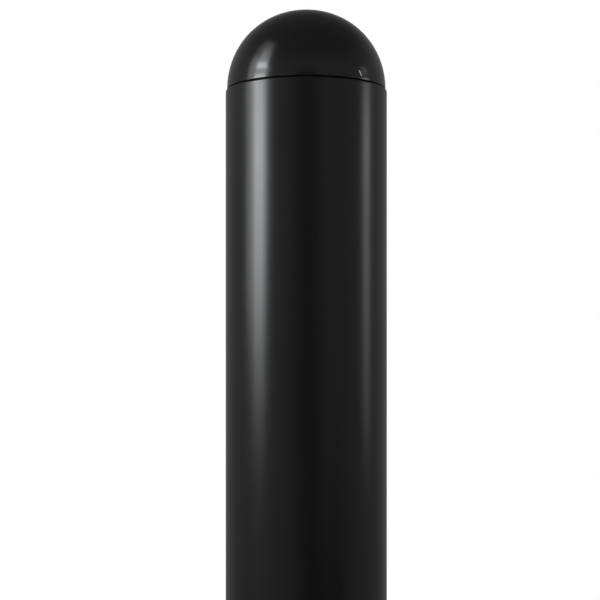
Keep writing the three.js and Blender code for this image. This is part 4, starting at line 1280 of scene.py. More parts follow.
def make_post_foot():
    """The foot plate, the nylon guide shoe on it and the four screws that hold the shoe."""
    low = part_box("foot_plate")[0]
    shoe_low, shoe_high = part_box("guide_shoe")
    inner, shoe_r = POST_R + FIT, shoe_high.y
    screw_circle = (inner + shoe_r) / 2
    head_r = half_width("shoe_screw_1")
    rail_side, slot_half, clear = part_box("turn_rail")[1].x, 4.6 * MM, 5 * MM
    slot = block(
        (-SLEEVE_R, -slot_half, low.z - clear),
        (rail_side + 2 * FIT, slot_half, shoe_high.z + clear),
    )
    plate = cut(cad_turned("foot_plate", 0.7 * MM), slot)
    plate = cut(plate, holes_round(head_r + FIT, screw_circle, low.z - PAST, low.z + head_r))
    add_piece("foot_plate_zinced", plate, "post", GALVANISED, ["foot_plate"])

    outline = [(inner, shoe_low.z), (shoe_r - 1 * MM, shoe_low.z), (shoe_r, shoe_low.z + 1 * MM)]
    for height in (8 * MM, 17 * MM, 26 * MM):
        z = shoe_low.z + height
        outline += groove(shoe_r, shoe_r - 1.2 * MM, z, 1.5 * MM, 0.8 * MM)
    outline += [(shoe_r, shoe_high.z - 2 * MM), (shoe_r - 2 * MM, shoe_high.z), (inner, shoe_high.z)]
    shoe = cut(turned(outline, sides=LARGE_SIDES), slot)
    add_piece("guide_shoe_turned", shoe, "post", NYLON, ["guide_shoe"])

    screw_low, screw_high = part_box("shoe_screw_1")
    length = screw_high.z - screw_low.z
    shank, socket_r, socket_depth = 2 * MM, 1.3 * MM, 1.3 * MM
    outline = [(0, 0), (head_r - 0.2 * MM, 0), (head_r, 0.3 * MM), (shank, head_r - FIT)]
    outline += thread(shank, head_r, length - 1 * MM) + [(1.2 * MM, length), (0, length)]
    screw = cut(turned(outline, sides=24), prism(polygon(socket_r, 6), -PAST, socket_depth))
    screws = copies_round(screw, 4, screw_circle, at(z=screw_low.z))
    names = numbered("shoe_screw", 4)
    add_piece("shoe_screws_turned", screws, "post", TURNED_STEEL, names)


def make_post_strut():
    """The half of the gas strut that travels with the post, hung from the bulkhead."""
    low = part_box("strut_bulkhead")[0]
    disc = cad_turned("strut_bulkhead", 0.8 * MM, MIDDLE_SIDES)
    add_piece("strut_bulkhead_zinced", disc, "post", GALVANISED, ["strut_bulkhead"])
    weld_round("bulkhead_weld", POST_BORE_R - 1 * MM, low.z - 0.4 * MM, body="post", seed=11)

    # The cylinder's own outline up to the bulkhead, from the axis on, then a threaded stud.
    cylinder_top = low.z - FIT
    kept = [p for p in cad_outline("strut_cylinder") if p[1] <= cylinder_top + 0.1 * MM]
    if kept[0][0] >= ON_AXIS:
        kept.reverse()
    stud_r, stud_top = 7 * MM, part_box("strut_cylinder")[1].z
    stud = thread(stud_r, cylinder_top + 4 * MM, stud_top - 1 * MM, 1.25 * MM, 0.4 * MM)
    stud += [(stud_r - 1 * MM, stud_top), (0, stud_top)]
    cylinder = turned(softened(kept, 1.5 * MM) + stud, sides=72)
    add_piece(
        "strut_cylinder_coated", cylinder, "post", POWDER_COAT, ["strut_cylinder"]
    )
    gland = cad_turned("strut_gland", 0.5 * MM, SMALL_SIDES)
    add_piece("strut_gland_turned", gland, "post", TURNED_STEEL, ["strut_gland"])
    washer = cad_turned("strut_washer", 0.4 * MM, SMALL_SIDES)
    add_piece("strut_washer_turned", washer, "post", TURNED_STEEL, ["strut_washer"])
    low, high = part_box("strut_nut")
    nut = hexagon_block(max(high.x, high.y), low.z, high.z)
    nut = cut(nut, rod(stud_r + 0.2 * MM, low.z - PAST, high.z + PAST))
    add_piece("strut_nut_turned", nut, "post", TURNED_STEEL, ["strut_nut"])


# ---------- Ground sleeve ----------

def make_sleeve():
    tube = turned(
        softened(ring_outline(SLEEVE_BORE_R, SLEEVE_R, SLEEVE_LOW.z, SLEEVE_HIGH.z), 0.5 * MM),
        sides=LARGE_SIDES,
    )
    tube = cut(tube, bolt_window(POST_R, SLEEVE_R + PAST))
    clear = 10 * MM
    outlet = rod(DRAIN_BORE_R, SLEEVE_BORE_R - clear, SLEEVE_R + clear, along_x(z=DRAIN_Z))
    tube = cut(tube, outlet)
    add_piece("sleeve_tube_zinced", tube, "housing", GALVANISED, ["sleeve_tube"])
    # The upper weld leaves a gap in front, where the lock case stands.
    bead_r, gap = SLEEVE_R + 0.8 * MM, math.radians(18)
    weld_round(
        "sleeve_collar_weld",
        bead_r,
        COLLAR_LOW.z - 0.6 * MM,
        first=-math.pi / 2 + gap,
        sweep=2 * math.pi - 2 * gap,
    )
    flange_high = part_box("base_flange")[1].z
    weld_round("sleeve_flange_weld", bead_r, flange_high + 0.6 * MM, seed=5)

    stop = cad_turned("stop_ring", 0.6 * MM)
    add_piece("stop_ring_zinced", stop, "housing", GALVANISED, ["stop_ring"])
    rail = eased(block(*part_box("turn_rail")), 0.8 * MM, 3)
    add_piece("turn_rail_zinced", rail, "housing", GALVANISED, ["turn_rail"])


def make_guide_bush():
    low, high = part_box("guide_bush")
    inner, outer = POST_R + 0.5 * MM, high.y
    lead = 1.5 * MM
    outline = [(inner + lead, low.z), (outer, low.z), (outer, high.z), (inner + lead, high.z)]
    outline.append((inner, high.z - lead))
    # The bore's outline runs downwards, so its grooves do too.
    for z in (high.z - 4.5 * MM, low.z + 12 * MM, low.z + 6 * MM):
        outline += groove(inner, inner + 1 * MM, z, -1.2 * MM, -0.6 * MM)
    outline.append((inner, low.z + lead))
    bush = turned(outline, sides=LARGE_SIDES)
    bush = cut(bush, bolt_window(POST_R - PAST, SLEEVE_BORE_R + PAST))
    add_piece("guide_bush_turned", bush, "housing", NYLON, ["guide_bush"])
    wiper = cad_turned("wiper_seal", 0.5 * MM)
    add_piece("wiper_seal_rubber", wiper, "housing", RUBBER, ["wiper_seal"])


def make_retainer():
    low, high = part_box("retainer_ring")
    head_r, shank = half_width("retainer_screw_1"), 2.5 * MM
    sink = turned(
        [
            (0, low.z - PAST),
            (shank + FIT, low.z - PAST),
            (shank + FIT, low.z + 0.1 * MM),
            (head_r + FIT, high.z - 0.3 * MM),
            (head_r + FIT, high.z + PAST),
            (0, high.z + PAST),
        ]
    )
    plate = cut(cad_turned("retainer_ring", 0.5 * MM), copies_round(sink, 4, SCREW_CIRCLE))
    add_piece("retainer_ring_brushed", plate, "housing", BRUSHED, ["retainer_ring"])

    screw_low, screw_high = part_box("retainer_screw_1")
    length = screw_high.z - screw_low.z
    socket_r, socket_depth = 1.75 * MM, 1.5 * MM
    outline = [(0, -length), (shank - 0.8 * MM, -length)]
    outline += thread(shank, -length + 0.6 * MM, -2.2 * MM, 0.8 * MM)
    outline += [(shank, -2 * MM), (head_r, -0.35 * MM), (head_r - 0.25 * MM, 0), (0, 0)]
    screw = cut(turned(outline, sides=40), prism(polygon(socket_r, 6), -socket_depth, PAST))
    screws = copies_round(screw, 4, SCREW_CIRCLE, at(z=screw_high.z))
    names = numbered("retainer_screw", 4)
    add_piece("retainer_screws_turned", screws, "housing", TURNED_STEEL, names)


def make_base():
    bolt_hole_r = 5.3 * MM
    for name in ("base_plate", "base_flange"):
        low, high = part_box(name)
        plate = cad_turned(name, 1 * MM)
        plate = cut(plate, holes_round(bolt_hole_r, BASE_CIRCLE, low.z - PAST, high.z + PAST))
        add_piece(name + "_zinced", plate, "housing", GALVANISED, [name])

    bolt_low, bolt_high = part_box("base_bolt_1")
    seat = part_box("base_flange")[1].z + FIT
    rise, length = bolt_high.z - seat, seat - bolt_low.z
    shank, corner_r = 5 * MM, 9.2 * MM
    outline = [(0, -length), (shank - 1 * MM, -length)]
    outline += thread(shank, -length + 1 * MM, -2 * MM, 1.5 * MM, 0.5 * MM)
    outline += [(shank, -1 * MM), (shank, 1 * MM), (0, 1 * MM)]
    bolt = combined(turned(outline, sides=40), hexagon_block(corner_r, 0, rise))
    bolts = copies_round(bolt, 4, BASE_CIRCLE, at(z=seat), Turn_spread=0.5, Seed=4)
    names = numbered("base_bolt", 4)
    add_piece("base_bolts_turned", bolts, "housing", TURNED_STEEL, names)

    low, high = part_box("landing_buffer")
    radii = [point[0] for point in cad_outline("landing_buffer")]
    inner, outer = min(radii), max(radii)
    middle = (low.z + high.z) / 2
    outline = [
        (inner, low.z),
        (outer, low.z),
        (outer, middle - 1.5 * MM),
        (outer - 1.2 * MM, middle),
        (outer, middle + 1.5 * MM),
        (outer, high.z),
        (inner, high.z),
    ]
    buffer = turned(softened(outline, 1.5 * MM), sides=MIDDLE_SIDES)
    add_piece("landing_buffer_rubber", buffer, "housing", RUBBER, ["landing_buffer"])


def make_drain():
    outer, bore, clear = 16.5 * MM, DRAIN_BORE_R, 5 * MM
    start, end = SLEEVE_BORE_R, DRAIN_HIGH.x
    outline = [(bore, start), (outer, start), (outer, end - 18 * MM)]
    outline += thread(outer, end - 17.5 * MM, end - 1 * MM, 1.8 * MM, 0.8 * MM)
    outline += [(outer - 1 * MM, end), (bore + 0.6 * MM, end), (bore, end - 0.6 * MM)]
    socket = turned(outline, along_x(z=DRAIN_Z), sides=72)
    wall = rod(SLEEVE_R + FIT, DRAIN_LOW.z - clear, DRAIN_HIGH.z + clear, sides=LARGE_SIDES)
    socket = cut(socket, wall)
    add_piece("drain_socket_zinced", socket, "housing", GALVANISED, ["drain_socket"])
    bead = copies_round(
        weld_ripple(),
        60,
        outer + 0.6 * MM,
        along_x(SLEEVE_R - 0.2 * MM, 0, DRAIN_Z),
        Turn_spread=0.3,
        Size_spread=0.2,
        Seed=9,
    )
    # The bead follows the tube's wall as it falls away from the socket.
    for vertex in bead.vertices:
        across = min(abs(vertex.co.y), SLEEVE_R)
        vertex.co.x += math.sqrt(SLEEVE_R ** 2 - across ** 2) - SLEEVE_R
    add_piece("drain_weld", bead, "housing", WELD, [])


def make_anchors():
    """Four ribbed bars that hold the frame in the concrete, their feet turned outwards."""
    inset, bend_r, drop, foot = 20 * MM, 22 * MM, 130 * MM, 34 * MM
    x = COLLAR_HIGH.x - inset
    front, rear = COLLAR_LOW.y + inset, COLLAR_HIGH.y - inset
    top = COLLAR_LOW.z - FIT
    points, edges = [], []
    for corner_x, corner_y in ((x, rear), (-x, rear), (-x, front), (x, front)):
        path = [(0, 0), (0, -0.5 * (drop - bend_r)), (0, -drop + bend_r)]
        for i in range(1, 9):
            t = i / 9
            path.append((bend_r * t * t, -drop + bend_r * (1 - t) ** 2))
        path += [(bend_r, -drop), (bend_r + foot, -drop)]
        outward = Vector((corner_x, corner_y)).normalized()
        begin = len(points)
        points += [(corner_x + s * outward.x, corner_y + s * outward.y, top + z) for s, z in path]
        edges += [(i, i + 1) for i in range(begin, len(points) - 1)]
    paths = bpy.data.meshes.new("anchor paths")
    paths.from_pydata(points, edges, [])
    bars = run_tree(RIBBED_BAR, paths, {"Bar radius": 4.8 * MM, "Rib radius": 0.6 * MM})
    names = numbered("anchor_bar", 4)
    add_piece("anchor_bars_ribbed", bars, "housing", GALVANISED, names)


# ---------- Frame, lid and hinge ----------

HINGE_LINE = along_x(0, HINGE.y, HINGE.z)


def barrel_bore():
    """A cutter for the key barrel and its head, through the frame and the collar plate."""
    step_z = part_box("key_barrel")[1].z - 4.8 * MM
    bore_r, head_bore_r = BARREL_R + 0.4 * MM, BARREL_HEAD_R + 0.4 * MM
    outline = [
        (0, COLLAR_LOW.z - PAST),
        (bore_r, COLLAR_LOW.z - PAST),
        (bore_r, step_z),
        (head_bore_r, step_z),
        (head_bore_r, PAST),
        (0, PAST),
    ]
    return turned(outline, at(0, BARREL.y, 0), sides=72)


def make_frame():
    outline = rounded_rectangle(RIM_LOW.x, RIM_HIGH.x, RIM_LOW.y, RIM_HIGH.y, FRAME_CORNER)
    low = RIM_LOW.z - PAST
    gap = 2 * MM
    half = LID_HALF + gap
    recess = prism(rounded_rectangle(-half, half, LID_FRONT - gap, half, 8 * MM), low, PAST)
    pin_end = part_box("hinge_pin")[1].x
    pocket = block(
        (-pin_end - gap, 0, low), (pin_end + gap, HINGE.y + HINGE_KNUCKLE_R + gap, PAST)
    )
    rivet_hole = rod(2.8 * MM, low, PAST, at(*COVER_PIVOT.xy))
    rim = cut(prism(outline, RIM_LOW.z, RIM_HIGH.z), recess)
    rim = cut(rim, pocket)
    rim = cut(rim, barrel_bore(), rivet_hole)
    rim = eased(rim, 0.7 * MM, 3)
    add_piece("frame_rim_zinced", rim, "housing", GALVANISED, ["frame_rim"])

    low, high = COLLAR_LOW.z - PAST, COLLAR_HIGH.z + PAST
    retainer_hole_r, case_hole_r, case_hole_depth = 2.8 * MM, 3.3 * MM, 5 * MM
    case_screws = [Vector((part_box(n)[0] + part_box(n)[1]) / 2) for n in numbered("case_screw", 2)]
    plate = cut(
        prism(outline, COLLAR_LOW.z, COLLAR_HIGH.z),
        rod(SLEEVE_R + FIT, low, high, sides=LARGE_SIDES),
        barrel_bore(),
        holes_round(retainer_hole_r, SCREW_CIRCLE, low, high),
        *(rod(case_hole_r, low, COLLAR_LOW.z + case_hole_depth, at(s.x, s.y)) for s in case_screws),
    )
    plate = eased(plate, 0.7 * MM, 3)
    add_piece("collar_plate_zinced", plate, "housing", GALVANISED, ["collar_plate"])


def tread_lug(length=15 * MM, width=4.2 * MM, rise=0.9 * MM):
    """One raised lens of the tread pattern, sunk slightly in the plate."""
    reach, sunk = 8, 0.3 * MM
    top_length, top_width = 0.78, 0.55
    side = [
        (-length / 2 + length * i / reach, width / 2 * math.sin(math.pi * i / reach) ** 0.8)
        for i in range(reach)
    ]
    around = side + [(-x, -y) for x, y in side]
    return drawn_between(
        [(x, y, -sunk) for x, y in around], [(top_length * x, top_width * y, rise) for x, y in around]
    )


def make_lid():
    """The lid is drawn shut and then folded back about its hinge."""
    thick = 6 * MM
    tongue_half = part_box("lid_knuckle")[1].x
    plate = prism(
        rounded_rectangle(-LID_HALF, LID_HALF, LID_FRONT, LID_HALF, 6 * MM), -thick, 0
    )
    # The tongue starts well inside the plate and reaches the hinge.
    tongue = block((-tongue_half, 50 * MM, -thick), (tongue_half, HINGE.y, 0))
    plate = united(plate, tongue)
    slot_half, slot_half_height = 16 * MM, 4.5 * MM
    slot_y = LID_FRONT + 10.5 * MM
    slot = rounded_rectangle(
        -slot_half, slot_half, slot_y - slot_half_height, slot_y + slot_half_height, 4.45 * MM
    )
    plate = cut(plate, prism(slot, -thick - PAST, PAST))
    lug_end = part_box("hinge_lug_right")[1].x
    barrel = rod(HINGE_KNUCKLE_R + FIT, -lug_end, lug_end, HINGE_LINE, sides=SMALL_SIDES)
    plate = eased(cut(plate, barrel), 0.8 * MM, 3)
    lugs = run_tree(
        TREAD,
        tread_lug(),
        {
            "Columns": 9,
            "Rows": 9,
            "Pitch": 20 * MM,
            "Centre": (0.0, -6 * MM, 0.0),
            "Slot half width": slot_half + 10 * MM,
            "Slot end": slot_y + 16 * MM,
        },
    )
    lid = combined(plate, lugs)
    lid.transform(FOLD_LID)
    add_piece("lid_plate_tread", lid, "lid", BRUSHED, ["lid_plate"])

    knuckle = turned(
        softened(ring_outline(4.4 * MM, HINGE_KNUCKLE_R, -tongue_half, tongue_half), 0.6 * MM),
        HINGE_LINE,
        sides=SMALL_SIDES,
    )
    add_piece("lid_knuckle_brushed", knuckle, "lid", TURNED_STEEL, ["lid_knuckle"])

    low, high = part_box("lid_gasket")
    outer = high.x
    inner = outer - 6 * MM
    bottom, top = 2 * HINGE.z - high.z, 2 * HINGE.z - low.z
    loop = prism(rounded_rectangle(-outer, outer, -outer, outer, 6 * MM), bottom, top)
    hollow = rounded_rectangle(-inner, inner, -inner, inner, 1.2 * MM)
    loop = cut(loop, prism(hollow, bottom - PAST, top + PAST))
    loop = eased(loop, 1.1 * MM, 3)
    loop.transform(FOLD_LID)
    add_piece("lid_gasket_rubber", loop, "lid", RUBBER, ["lid_gasket"])


def make_hinge():
    pin_hole_r = 4.3 * MM
    for name in ("hinge_lug_right", "hinge_lug_left"):
        low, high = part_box(name)
        eye = rod(HINGE_KNUCKLE_R, low.x, high.x, HINGE_LINE, sides=SMALL_SIDES)
        foot = block(
            (low.x, HINGE.y - HINGE_KNUCKLE_R, low.z), (high.x, HINGE.y + HINGE_KNUCKLE_R, HINGE.z)
        )
        lug = cut(united(eye, foot), rod(pin_hole_r, low.x - PAST, high.x + PAST, HINGE_LINE))
        lug = eased(lug, 0.5 * MM, 2)
        add_piece(name + "_zinced", lug, "housing", GALVANISED, [name])
    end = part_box("hinge_pin")[1].x
    head, head_r, pin_r = 2.5 * MM, 5.8 * MM, 4 * MM
    half = [(pin_r, end - head), (head_r, end - head), (head_r, end - 0.9 * MM)]
    half += [(head_r - 1 * MM, end - 0.2 * MM), (head_r - 3 * MM, end), (0, end)]
    outline = [(r, -z) for r, z in half[::-1]] + half
    pin = turned(outline, HINGE_LINE, sides=48)
    add_piece("hinge_pin_turned", pin, "housing", TURNED_STEEL, ["hinge_pin"])


# ---------- Lock ----------

def clip(inner, outer, low, high, place):
    """An open retaining ring with a small eye at each end of its gap."""
    gap = math.degrees(0.45)
    outline = arc((0, 0), outer, -90 + gap, 270 - gap, 48)
    outline += arc((0, 0), inner, 270 - gap, -90 + gap, 48)
    ring = prism(outline, low, high)
    ring.transform(place)
    return eased(ring, 0.25 * MM, 2, 40)


def make_lock_body():
    case = cad_shape("lock_case", 0.6 * MM)
    add_piece("lock_case_zinced", case, "housing", GALVANISED, ["lock_case"])
    keeper = cad_shape("bolt_keeper", 0.4 * MM)
    add_piece("bolt_keeper_brushed", keeper, "housing", BRUSHED, ["bolt_keeper"])
    low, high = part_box("case_screw_1")
    head_r, shank, head = 5.4 * MM, 3 * MM, 5 * MM
    socket_r, socket_depth = 2.9 * MM, 2.6 * MM
    rise = high.z - low.z - head
    outline = [(0, -head), (head_r - 0.7 * MM, -head), (head_r, -head + 0.7 * MM)]
    outline += [(head_r, -0.3 * MM), (head_r - 0.3 * MM, 0), (shank, 0)]
    outline += thread(shank, 1 * MM, rise - 0.8 * MM) + [(shank - 0.8 * MM, rise), (0, rise)]
    socket = prism(polygon(socket_r, 6), -head - PAST, -head + socket_depth)
    screw = cut(turned(outline, sides=40), socket)
    spacing = abs(low.x + high.x) / 2
    screws = copies_round(screw, 2, spacing, at(0, BARREL.y, low.z + head), First_angle=0.0)
    names = numbered("case_screw", 2)
    add_piece("case_screws_turned", screws, "housing", TURNED_STEEL, names)
    bolt = cad_shape("lock_bolt", 0.7 * MM)
    add_piece("lock_bolt_brushed", bolt, "bolt", BRUSHED, ["lock_bolt"])


def make_key_barrel():
    low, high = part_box("key_barrel")
    head = 4.4 * MM
    clip_low, clip_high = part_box("barrel_clip")
    groove_r = BARREL_R - 1.3 * MM
    crank_r = 3 * MM
    bottom = BOLT_HIGH.z + 0.4 * MM
    outline = [
        (0, bottom),
        (BARREL_R - 0.5 * MM, bottom),
        (BARREL_R, bottom + 0.5 * MM),
        (BARREL_R, clip_low.z - FIT),
        (groove_r, clip_low.z - FIT),
        (groove_r, clip_high.z + FIT),
        (BARREL_R, clip_high.z + FIT),
        (BARREL_R, high.z - head),
        (BARREL_HEAD_R - 0.4 * MM, high.z - head),
        (BARREL_HEAD_R, high.z - head + 0.4 * MM),
        (BARREL_HEAD_R, high.z - 0.7 * MM),
        (BARREL_HEAD_R - 0.7 * MM, high.z),
        (BARREL_HEAD_R - 2.2 * MM, high.z),
        (BARREL_HEAD_R - 2.8 * MM, high.z - 0.5 * MM),
        (BARREL_HEAD_R - 3.4 * MM, high.z),
        (0, high.z),
    ]
    barrel = turned(outline, at(0, BARREL.y), sides=MIDDLE_SIDES)
    throw = 5.5 * MM
    crank = turned(
        [
            (0, low.z),
            (crank_r - 0.6 * MM, low.z),
            (crank_r, low.z + 0.6 * MM),
            (crank_r, bottom + 2 * MM),
            (0, bottom + 2 * MM),
        ],
        at(throw, BARREL.y - throw),
        sides=32,
    )
    barrel = united(barrel, crank)
    key_r, key_depth = 6.5 * MM, 9 * MM
    key_way = prism(polygon(key_r, 3, -90), high.z - key_depth, high.z + PAST)
    key_way.transform(at(0, BARREL.y))
    barrel = cut(barrel, key_way)
    add_piece("key_barrel_brass", barrel, "key", BRASS, ["key_barrel"])
    ring = clip(
        BARREL_R - 1 * MM, BARREL_R + 2.2 * MM, clip_low.z, clip_high.z, at(0, BARREL.y)
    )
    add_piece("barrel_clip_turned", ring, "key", TURNED_STEEL, ["barrel_clip"])


def make_key_cover():
    low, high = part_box("key_cover")
    disc_r = (high.y - low.y) / 2
    eye_r, reach = 7 * MM, COVER_PIVOT.x - BARREL.x
    side = 90 - math.degrees(math.asin((disc_r - eye_r) / reach))
    outline = arc((0, 0), eye_r, -side, side, 16)
    outline += arc((-reach, 0), disc_r, side, 360 - side, 48)
    cover = prism(outline, low.z, high.z)
    # A low ridge near the disc's front edge, for a thumb to push.
    ridge = rounded_rectangle(
        -reach - 5 * MM, -reach + 5 * MM, -disc_r + 2.5 * MM, -disc_r + 5 * MM, 1.2 * MM
    )
    thumb = prism(ridge, high.z - 0.5 * MM, high.z + 1.2 * MM)
    cover = eased(united(cover, thumb), 0.5 * MM, 3)
    cover.transform(at(*COVER_PIVOT.xy))
    cover = cut(cover, rod(2.9 * MM, low.z - PAST, high.z + PAST, at(*COVER_PIVOT.xy)))
    add_piece("key_cover_brushed", cover, "cover", BRUSHED, ["key_cover"])
    low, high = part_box("cover_rivet")
    head_r, shank = 5 * MM, 2.5 * MM
    head_low = high.z - 2 * MM
    outline = [(0, low.z), (shank, low.z), (shank, head_low), (head_r - 0.3 * MM, head_low)]
    outline += [
        (head_r * math.cos(a), head_low + 0.3 * MM + (high.z - head_low - 0.3 * MM) * math.sin(a))
        for a in (math.radians(15 * i) for i in range(6))
    ]
    outline.append((0, high.z))
    rivet = turned(outline, at(*COVER_PIVOT.xy), sides=48)
    add_piece("cover_rivet_turned", rivet, "housing", TURNED_STEEL, ["cover_rivet"])


# ---------- The strut's fixed half ----------

def make_strut_foot():
    low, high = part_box("base_clevis")
    depth, bore = high.y, 4.3 * MM
    cross = along_x(0, 0, CLEVIS_Z)
    ears = united(
        block((low.x, -depth, low.z), (high.x, depth, CLEVIS_Z)),
        rod(depth, low.x, high.x, cross, sides=SMALL_SIDES),
    )
    ear, floor = 6 * MM, 8 * MM
    gap = high.x - ear
    ears = cut(
        ears,
        block((-gap, -depth - PAST, low.z + floor), (gap, depth + PAST, high.z + PAST)),
    )
    ears = cut(ears, rod(bore, low.x - PAST, high.x + PAST, cross))
    ears = eased(ears, 0.8 * MM, 3)
    add_piece("base_clevis_zinced", ears, "housing", GALVANISED, ["base_clevis"])

    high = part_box("rod_eye")[1]
    eye_half, eye_r, neck_r, web, eye_bore = 6 * MM, 11 * MM, 9 * MM, 8 * MM, 4.4 * MM
    # The web is a hair narrower than the eye, so that their flat sides don't coincide.
    web_half = eye_half - 0.01 * MM
    neck_low = CLEVIS_Z + depth + 0.4 * MM
    eye = united(
        rod(eye_r, -eye_half, eye_half, cross, sides=SMALL_SIDES),
        block((-web_half, -web, CLEVIS_Z), (web_half, web, neck_low + 1 * MM)),
        rod(neck_r, neck_low, high.z, sides=SMALL_SIDES),
    )
    eye = cut(eye, rod(eye_bore, -eye_half - PAST, eye_half + PAST, cross))
    eye = eased(eye, 0.5 * MM, 2)
    add_piece("rod_eye_turned", eye, "housing", TURNED_STEEL, ["rod_eye"])

    low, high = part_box("clevis_pin")
    clip_low, clip_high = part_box("clevis_clip")
    r, head_r, waist = 4 * MM, 6.5 * MM, 2.7 * MM
    outline = [
        (0, low.x),
        (head_r - 0.7 * MM, low.x),
        (head_r, low.x + 0.7 * MM),
        (head_r, low.x + 3 * MM),
        (r, low.x + 3 * MM),
        (r, clip_low.x - FIT),
        (waist, clip_low.x - FIT),
        (waist, clip_high.x + FIT),
        (r, clip_high.x + FIT),
        (r, high.x - 0.8 * MM),
        (r - 0.8 * MM, high.x),
        (0, high.x),
    ]
    pin = turned(outline, cross, sides=48)
    add_piece("clevis_pin_turned", pin, "housing", TURNED_STEEL, ["clevis_pin"])
    ring = clip(3 * MM, 6.2 * MM, clip_low.x, clip_high.x, cross)
    add_piece("clevis_clip_turned", ring, "housing", TURNED_STEEL, ["clevis_clip"])

    low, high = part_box("strut_rod")
    rod_r = high.y
    outline = [(0, low.z), (rod_r - 0.5 * MM, low.z), (rod_r, low.z + 0.5 * MM)]
    outline += [(rod_r, high.z - 0.5 * MM), (rod_r - 0.5 * MM, high.z), (0, high.z)]
    strut_rod = turned(outline, sides=SMALL_SIDES)
    add_piece("strut_rod_chromed", strut_rod, "housing", CHROME, ["strut_rod"])

    low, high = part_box("strut_piston")
    piston_r = high.y
    middle = (low.z + high.z) / 2
    outline = [(0, low.z), (piston_r - 1 * MM, low.z), (piston_r, low.z + 1 * MM)]
    for z in (middle - 3 * MM, middle + 3 * MM):
        outline += groove(piston_r, piston_r - 1 * MM, z, 1.2 * MM, 1.2 * MM)
    outline += [(piston_r, high.z - 1 * MM), (piston_r - 1 * MM, high.z), (0, high.z)]
    piston = turned(outline, sides=SMALL_SIDES)
    add_piece("strut_piston_brass", piston, "housing", BRASS, ["strut_piston"])


make_post_tube()
make_dome_cap()
make_post_foot()
make_post_strut()
make_sleeve()
make_guide_bush()
make_retainer()
make_base()
make_drain()
make_anchors()
make_frame()
make_lid()
make_hinge()
make_lock_body()
make_key_barrel()
make_key_cover()
make_strut_foot()


# ---------- Floor, light and surroundings ----------

FLOOR_Z = cad_low.z - 0.5 * MM
FLOOR_R = 4.6
FADE_START = 0.4
FADE_END = 0.62 * FLOOR_R


def make_floor():
    """A plain pale disc for the base plate to stand on, fading out towards its rim."""
    material, tree, shader = new_material("Pale floor")
    grain = effect(tree, GRAIN, Fine_scale=40.0, Slow_scale=1.5)
    colour = blend_colours(tree, grain["Slow"], (0.85, 0.85, 0.845), (0.89, 0.89, 0.885))
    spot = object_spot(tree)
    flat = vector_node(tree, "MULTIPLY", spot, (1.0, 1.0, 0.0))
    away = vector_node(tree, "DISTANCE", flat, (0.0, 0.0, 0.0), "Value")
    fade = ramp(tree, away, FADE_START, FADE_END, 1.0, 0.0)
    rough = spread(tree, grain["Height"], 0.75, 0.85)
    feed(tree, shader, Base_Color=colour, Roughness=rough, Alpha=fade)
    low = FLOOR_Z - 10 * MM
    disc = turned([(0, low), (FLOOR_R, low), (FLOOR_R, FLOOR_Z), (0, FLOOR_Z)])
    disc.materials.clear()
    disc.materials.append(material)
    floor = bpy.data.objects.new("floor", disc)
    scene.collection.objects.link(floor)


def add_softbox(name, centre, towards, width, height, brightness, colour=(1.0, 1.0, 1.0)):
    """A flat light that isn't itself seen; brightness is that of its own face."""
    light = bpy.data.lights.new(name, "AREA")
    light.shape = "RECTANGLE"
    light.size = width
    light.size_y = height
    light.energy = brightness * math.pi * width * height
    light.color = colour
    box = bpy.data.objects.new(name, light)
    box.location = centre
    facing = Vector(towards) - Vector(centre)
    box.rotation_euler = facing.to_track_quat("-Z", "Y").to_euler()
    box.visible_camera = False
    scene.collection.objects.link(box)
    return box


LIGHT_DISTANCE = 1.6


def upright_softbox(name, turn, low, high, width, brightness, colour=(1.0, 1.0, 1.0)):
    """A tall light that faces the post's axis, turned in degrees from straight in front."""
    middle = (low + high) / 2
    x = LIGHT_DISTANCE * math.sin(math.radians(turn))
    y = -LIGHT_DISTANCE * math.cos(math.radians(turn))
    add_softbox(name, (x, y, middle), (0, 0, middle), width, high - low, brightness, colour)


# A light's bands, from its foot up: lowest height, highest height, brightness.
LEFT_BANDS = (
    (0.50, 0.66, 2.0),
    (0.66, 0.80, 6.2),
    (0.80, 0.95, 9.0),
    (0.95, 1.29, 10.6),
    (1.29, 1.47, 3.2),
    (1.47, 1.66, 12.8),
    (1.66, 1.84, 4.6),
    (1.84, 2.14, 3.0),
    (2.14, 2.45, 1.3),
    (2.45, 2.70, 0.5),
    (2.70, 3.00, 0.2),
)
RIGHT_BANDS = ((0.45, 0.70, 1.0), (0.70, 0.95, 1.6), (0.95, 1.17, 2.6), (1.3, 1.5, 0.7))
LEFT_TURN, LEFT_WIDTH = -68.7, 0.53
RIGHT_TURN, RIGHT_WIDTH = 91.8, 0.36
# What the ground lights aim at, half way down the sleeve, and their width and height.
GROUND_AIM = (0, 0, -0.5)
GROUND_SIZE = (1.8, 2.4)
COOL = (0.95, 0.98, 1.0)
COOLER = (0.86, 0.93, 1.0)


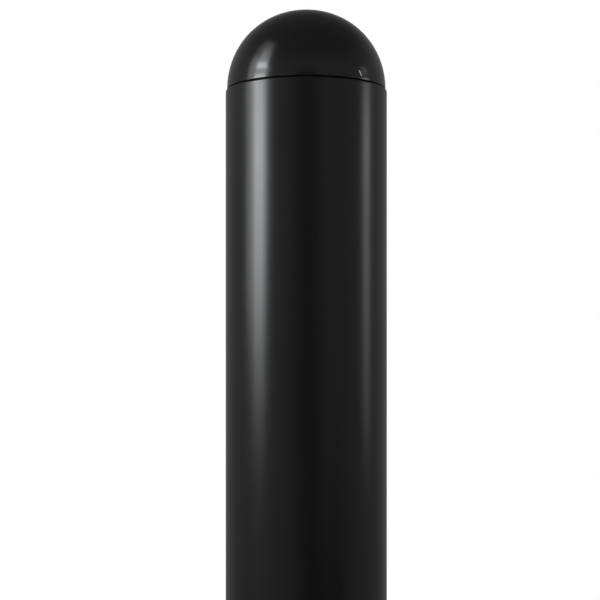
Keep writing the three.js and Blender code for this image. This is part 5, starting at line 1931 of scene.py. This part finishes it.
def make_lights():
    for i, (low, high, brightness) in enumerate(LEFT_BANDS):
        upright_softbox(f"left light {i + 1}", LEFT_TURN, low, high, LEFT_WIDTH, brightness, COOL)
    upright_softbox("left light spill", LEFT_TURN - 16, 0.66, 1.9, 0.36, 2.0, COOL)
    upright_softbox("left light haze", LEFT_TURN - 10, 1.95, 2.9, 0.7, 0.8, COOL)
    upright_softbox("left light edge", LEFT_TURN + 11.5, 0.80, 1.53, 0.1, 2.4, COOLER)
    for i, (low, high, brightness) in enumerate(RIGHT_BANDS):
        upright_softbox(f"right light {i + 1}", RIGHT_TURN, low, high, RIGHT_WIDTH, brightness)
    for name, centre, brightness in (
        ("ground light front", (0.7, -2.0, -0.2), 1.5),
        ("ground light left", (-2.1, -0.3, 0.3), 1.1),
        ("ground light back", (0.9, 2.0, 0.0), 1.0),
    ):
        box = add_softbox(name, centre, GROUND_AIM, *GROUND_SIZE, brightness)
        box.light_linking.receiver_collection = metalwork


def make_surroundings():
    """White to look at, an even fill for matt surfaces, and for gloss a dim even room that
    is darker straight in front, overhead and low down, with a black flag low on the right."""
    world = bpy.data.worlds.new("Studio")
    scene.world = world
    world.use_nodes = True
    tree = world.node_tree
    tree.nodes.clear()
    direction = add_node(tree, "ShaderNodeTexCoord").outputs["Generated"]
    axes = add_node(tree, "ShaderNodeSeparateXYZ", {"Vector": direction}).outputs
    front = ramp(tree, axes["Y"], -0.985, -0.90, 0.09, 0.25)
    below = ramp(tree, axes["Z"], -0.28, 0.05, 0.8, 1.0)
    above = ramp(tree, axes["Z"], 0.3, 0.85, 1.0, 0.45)
    room = product(tree, front, above, below)
    flag = ramp(tree, axes["Z"], -0.29, -0.14, 0.9, 0.0)
    for edge in (
        ramp(tree, axes["X"], -0.35, 0.25, 0.0, 1.0),
        ramp(tree, axes["X"], 0.74, 0.88, 1.0, 0.0),
        ramp(tree, axes["Y"], -0.4, -0.1, 1.0, 0.0),
    ):
        flag = product(tree, flag, edge)
    strength = product(tree, room, math_node(tree, "SUBTRACT", 1.0, flag))
    path = add_node(tree, "ShaderNodeLightPath").outputs
    for kind, level in (("Is Diffuse Ray", 0.75), ("Is Camera Ray", 1.0)):
        inputs = {0: path[kind], 2: strength, 3: level}
        strength = add_node(tree, "ShaderNodeMix", inputs, data_type="FLOAT").outputs[0]
    background = add_node(tree, "ShaderNodeBackground", {"Strength": strength})
    background.inputs["Color"].default_value = (1.0, 1.0, 1.0, 1.0)
    end = add_node(tree, "ShaderNodeOutputWorld")
    tree.links.new(background.outputs[0], end.inputs["Surface"])


make_floor()
make_lights()
make_surroundings()
scene.view_settings.view_transform = "Standard"
scene.view_settings.look = "None"
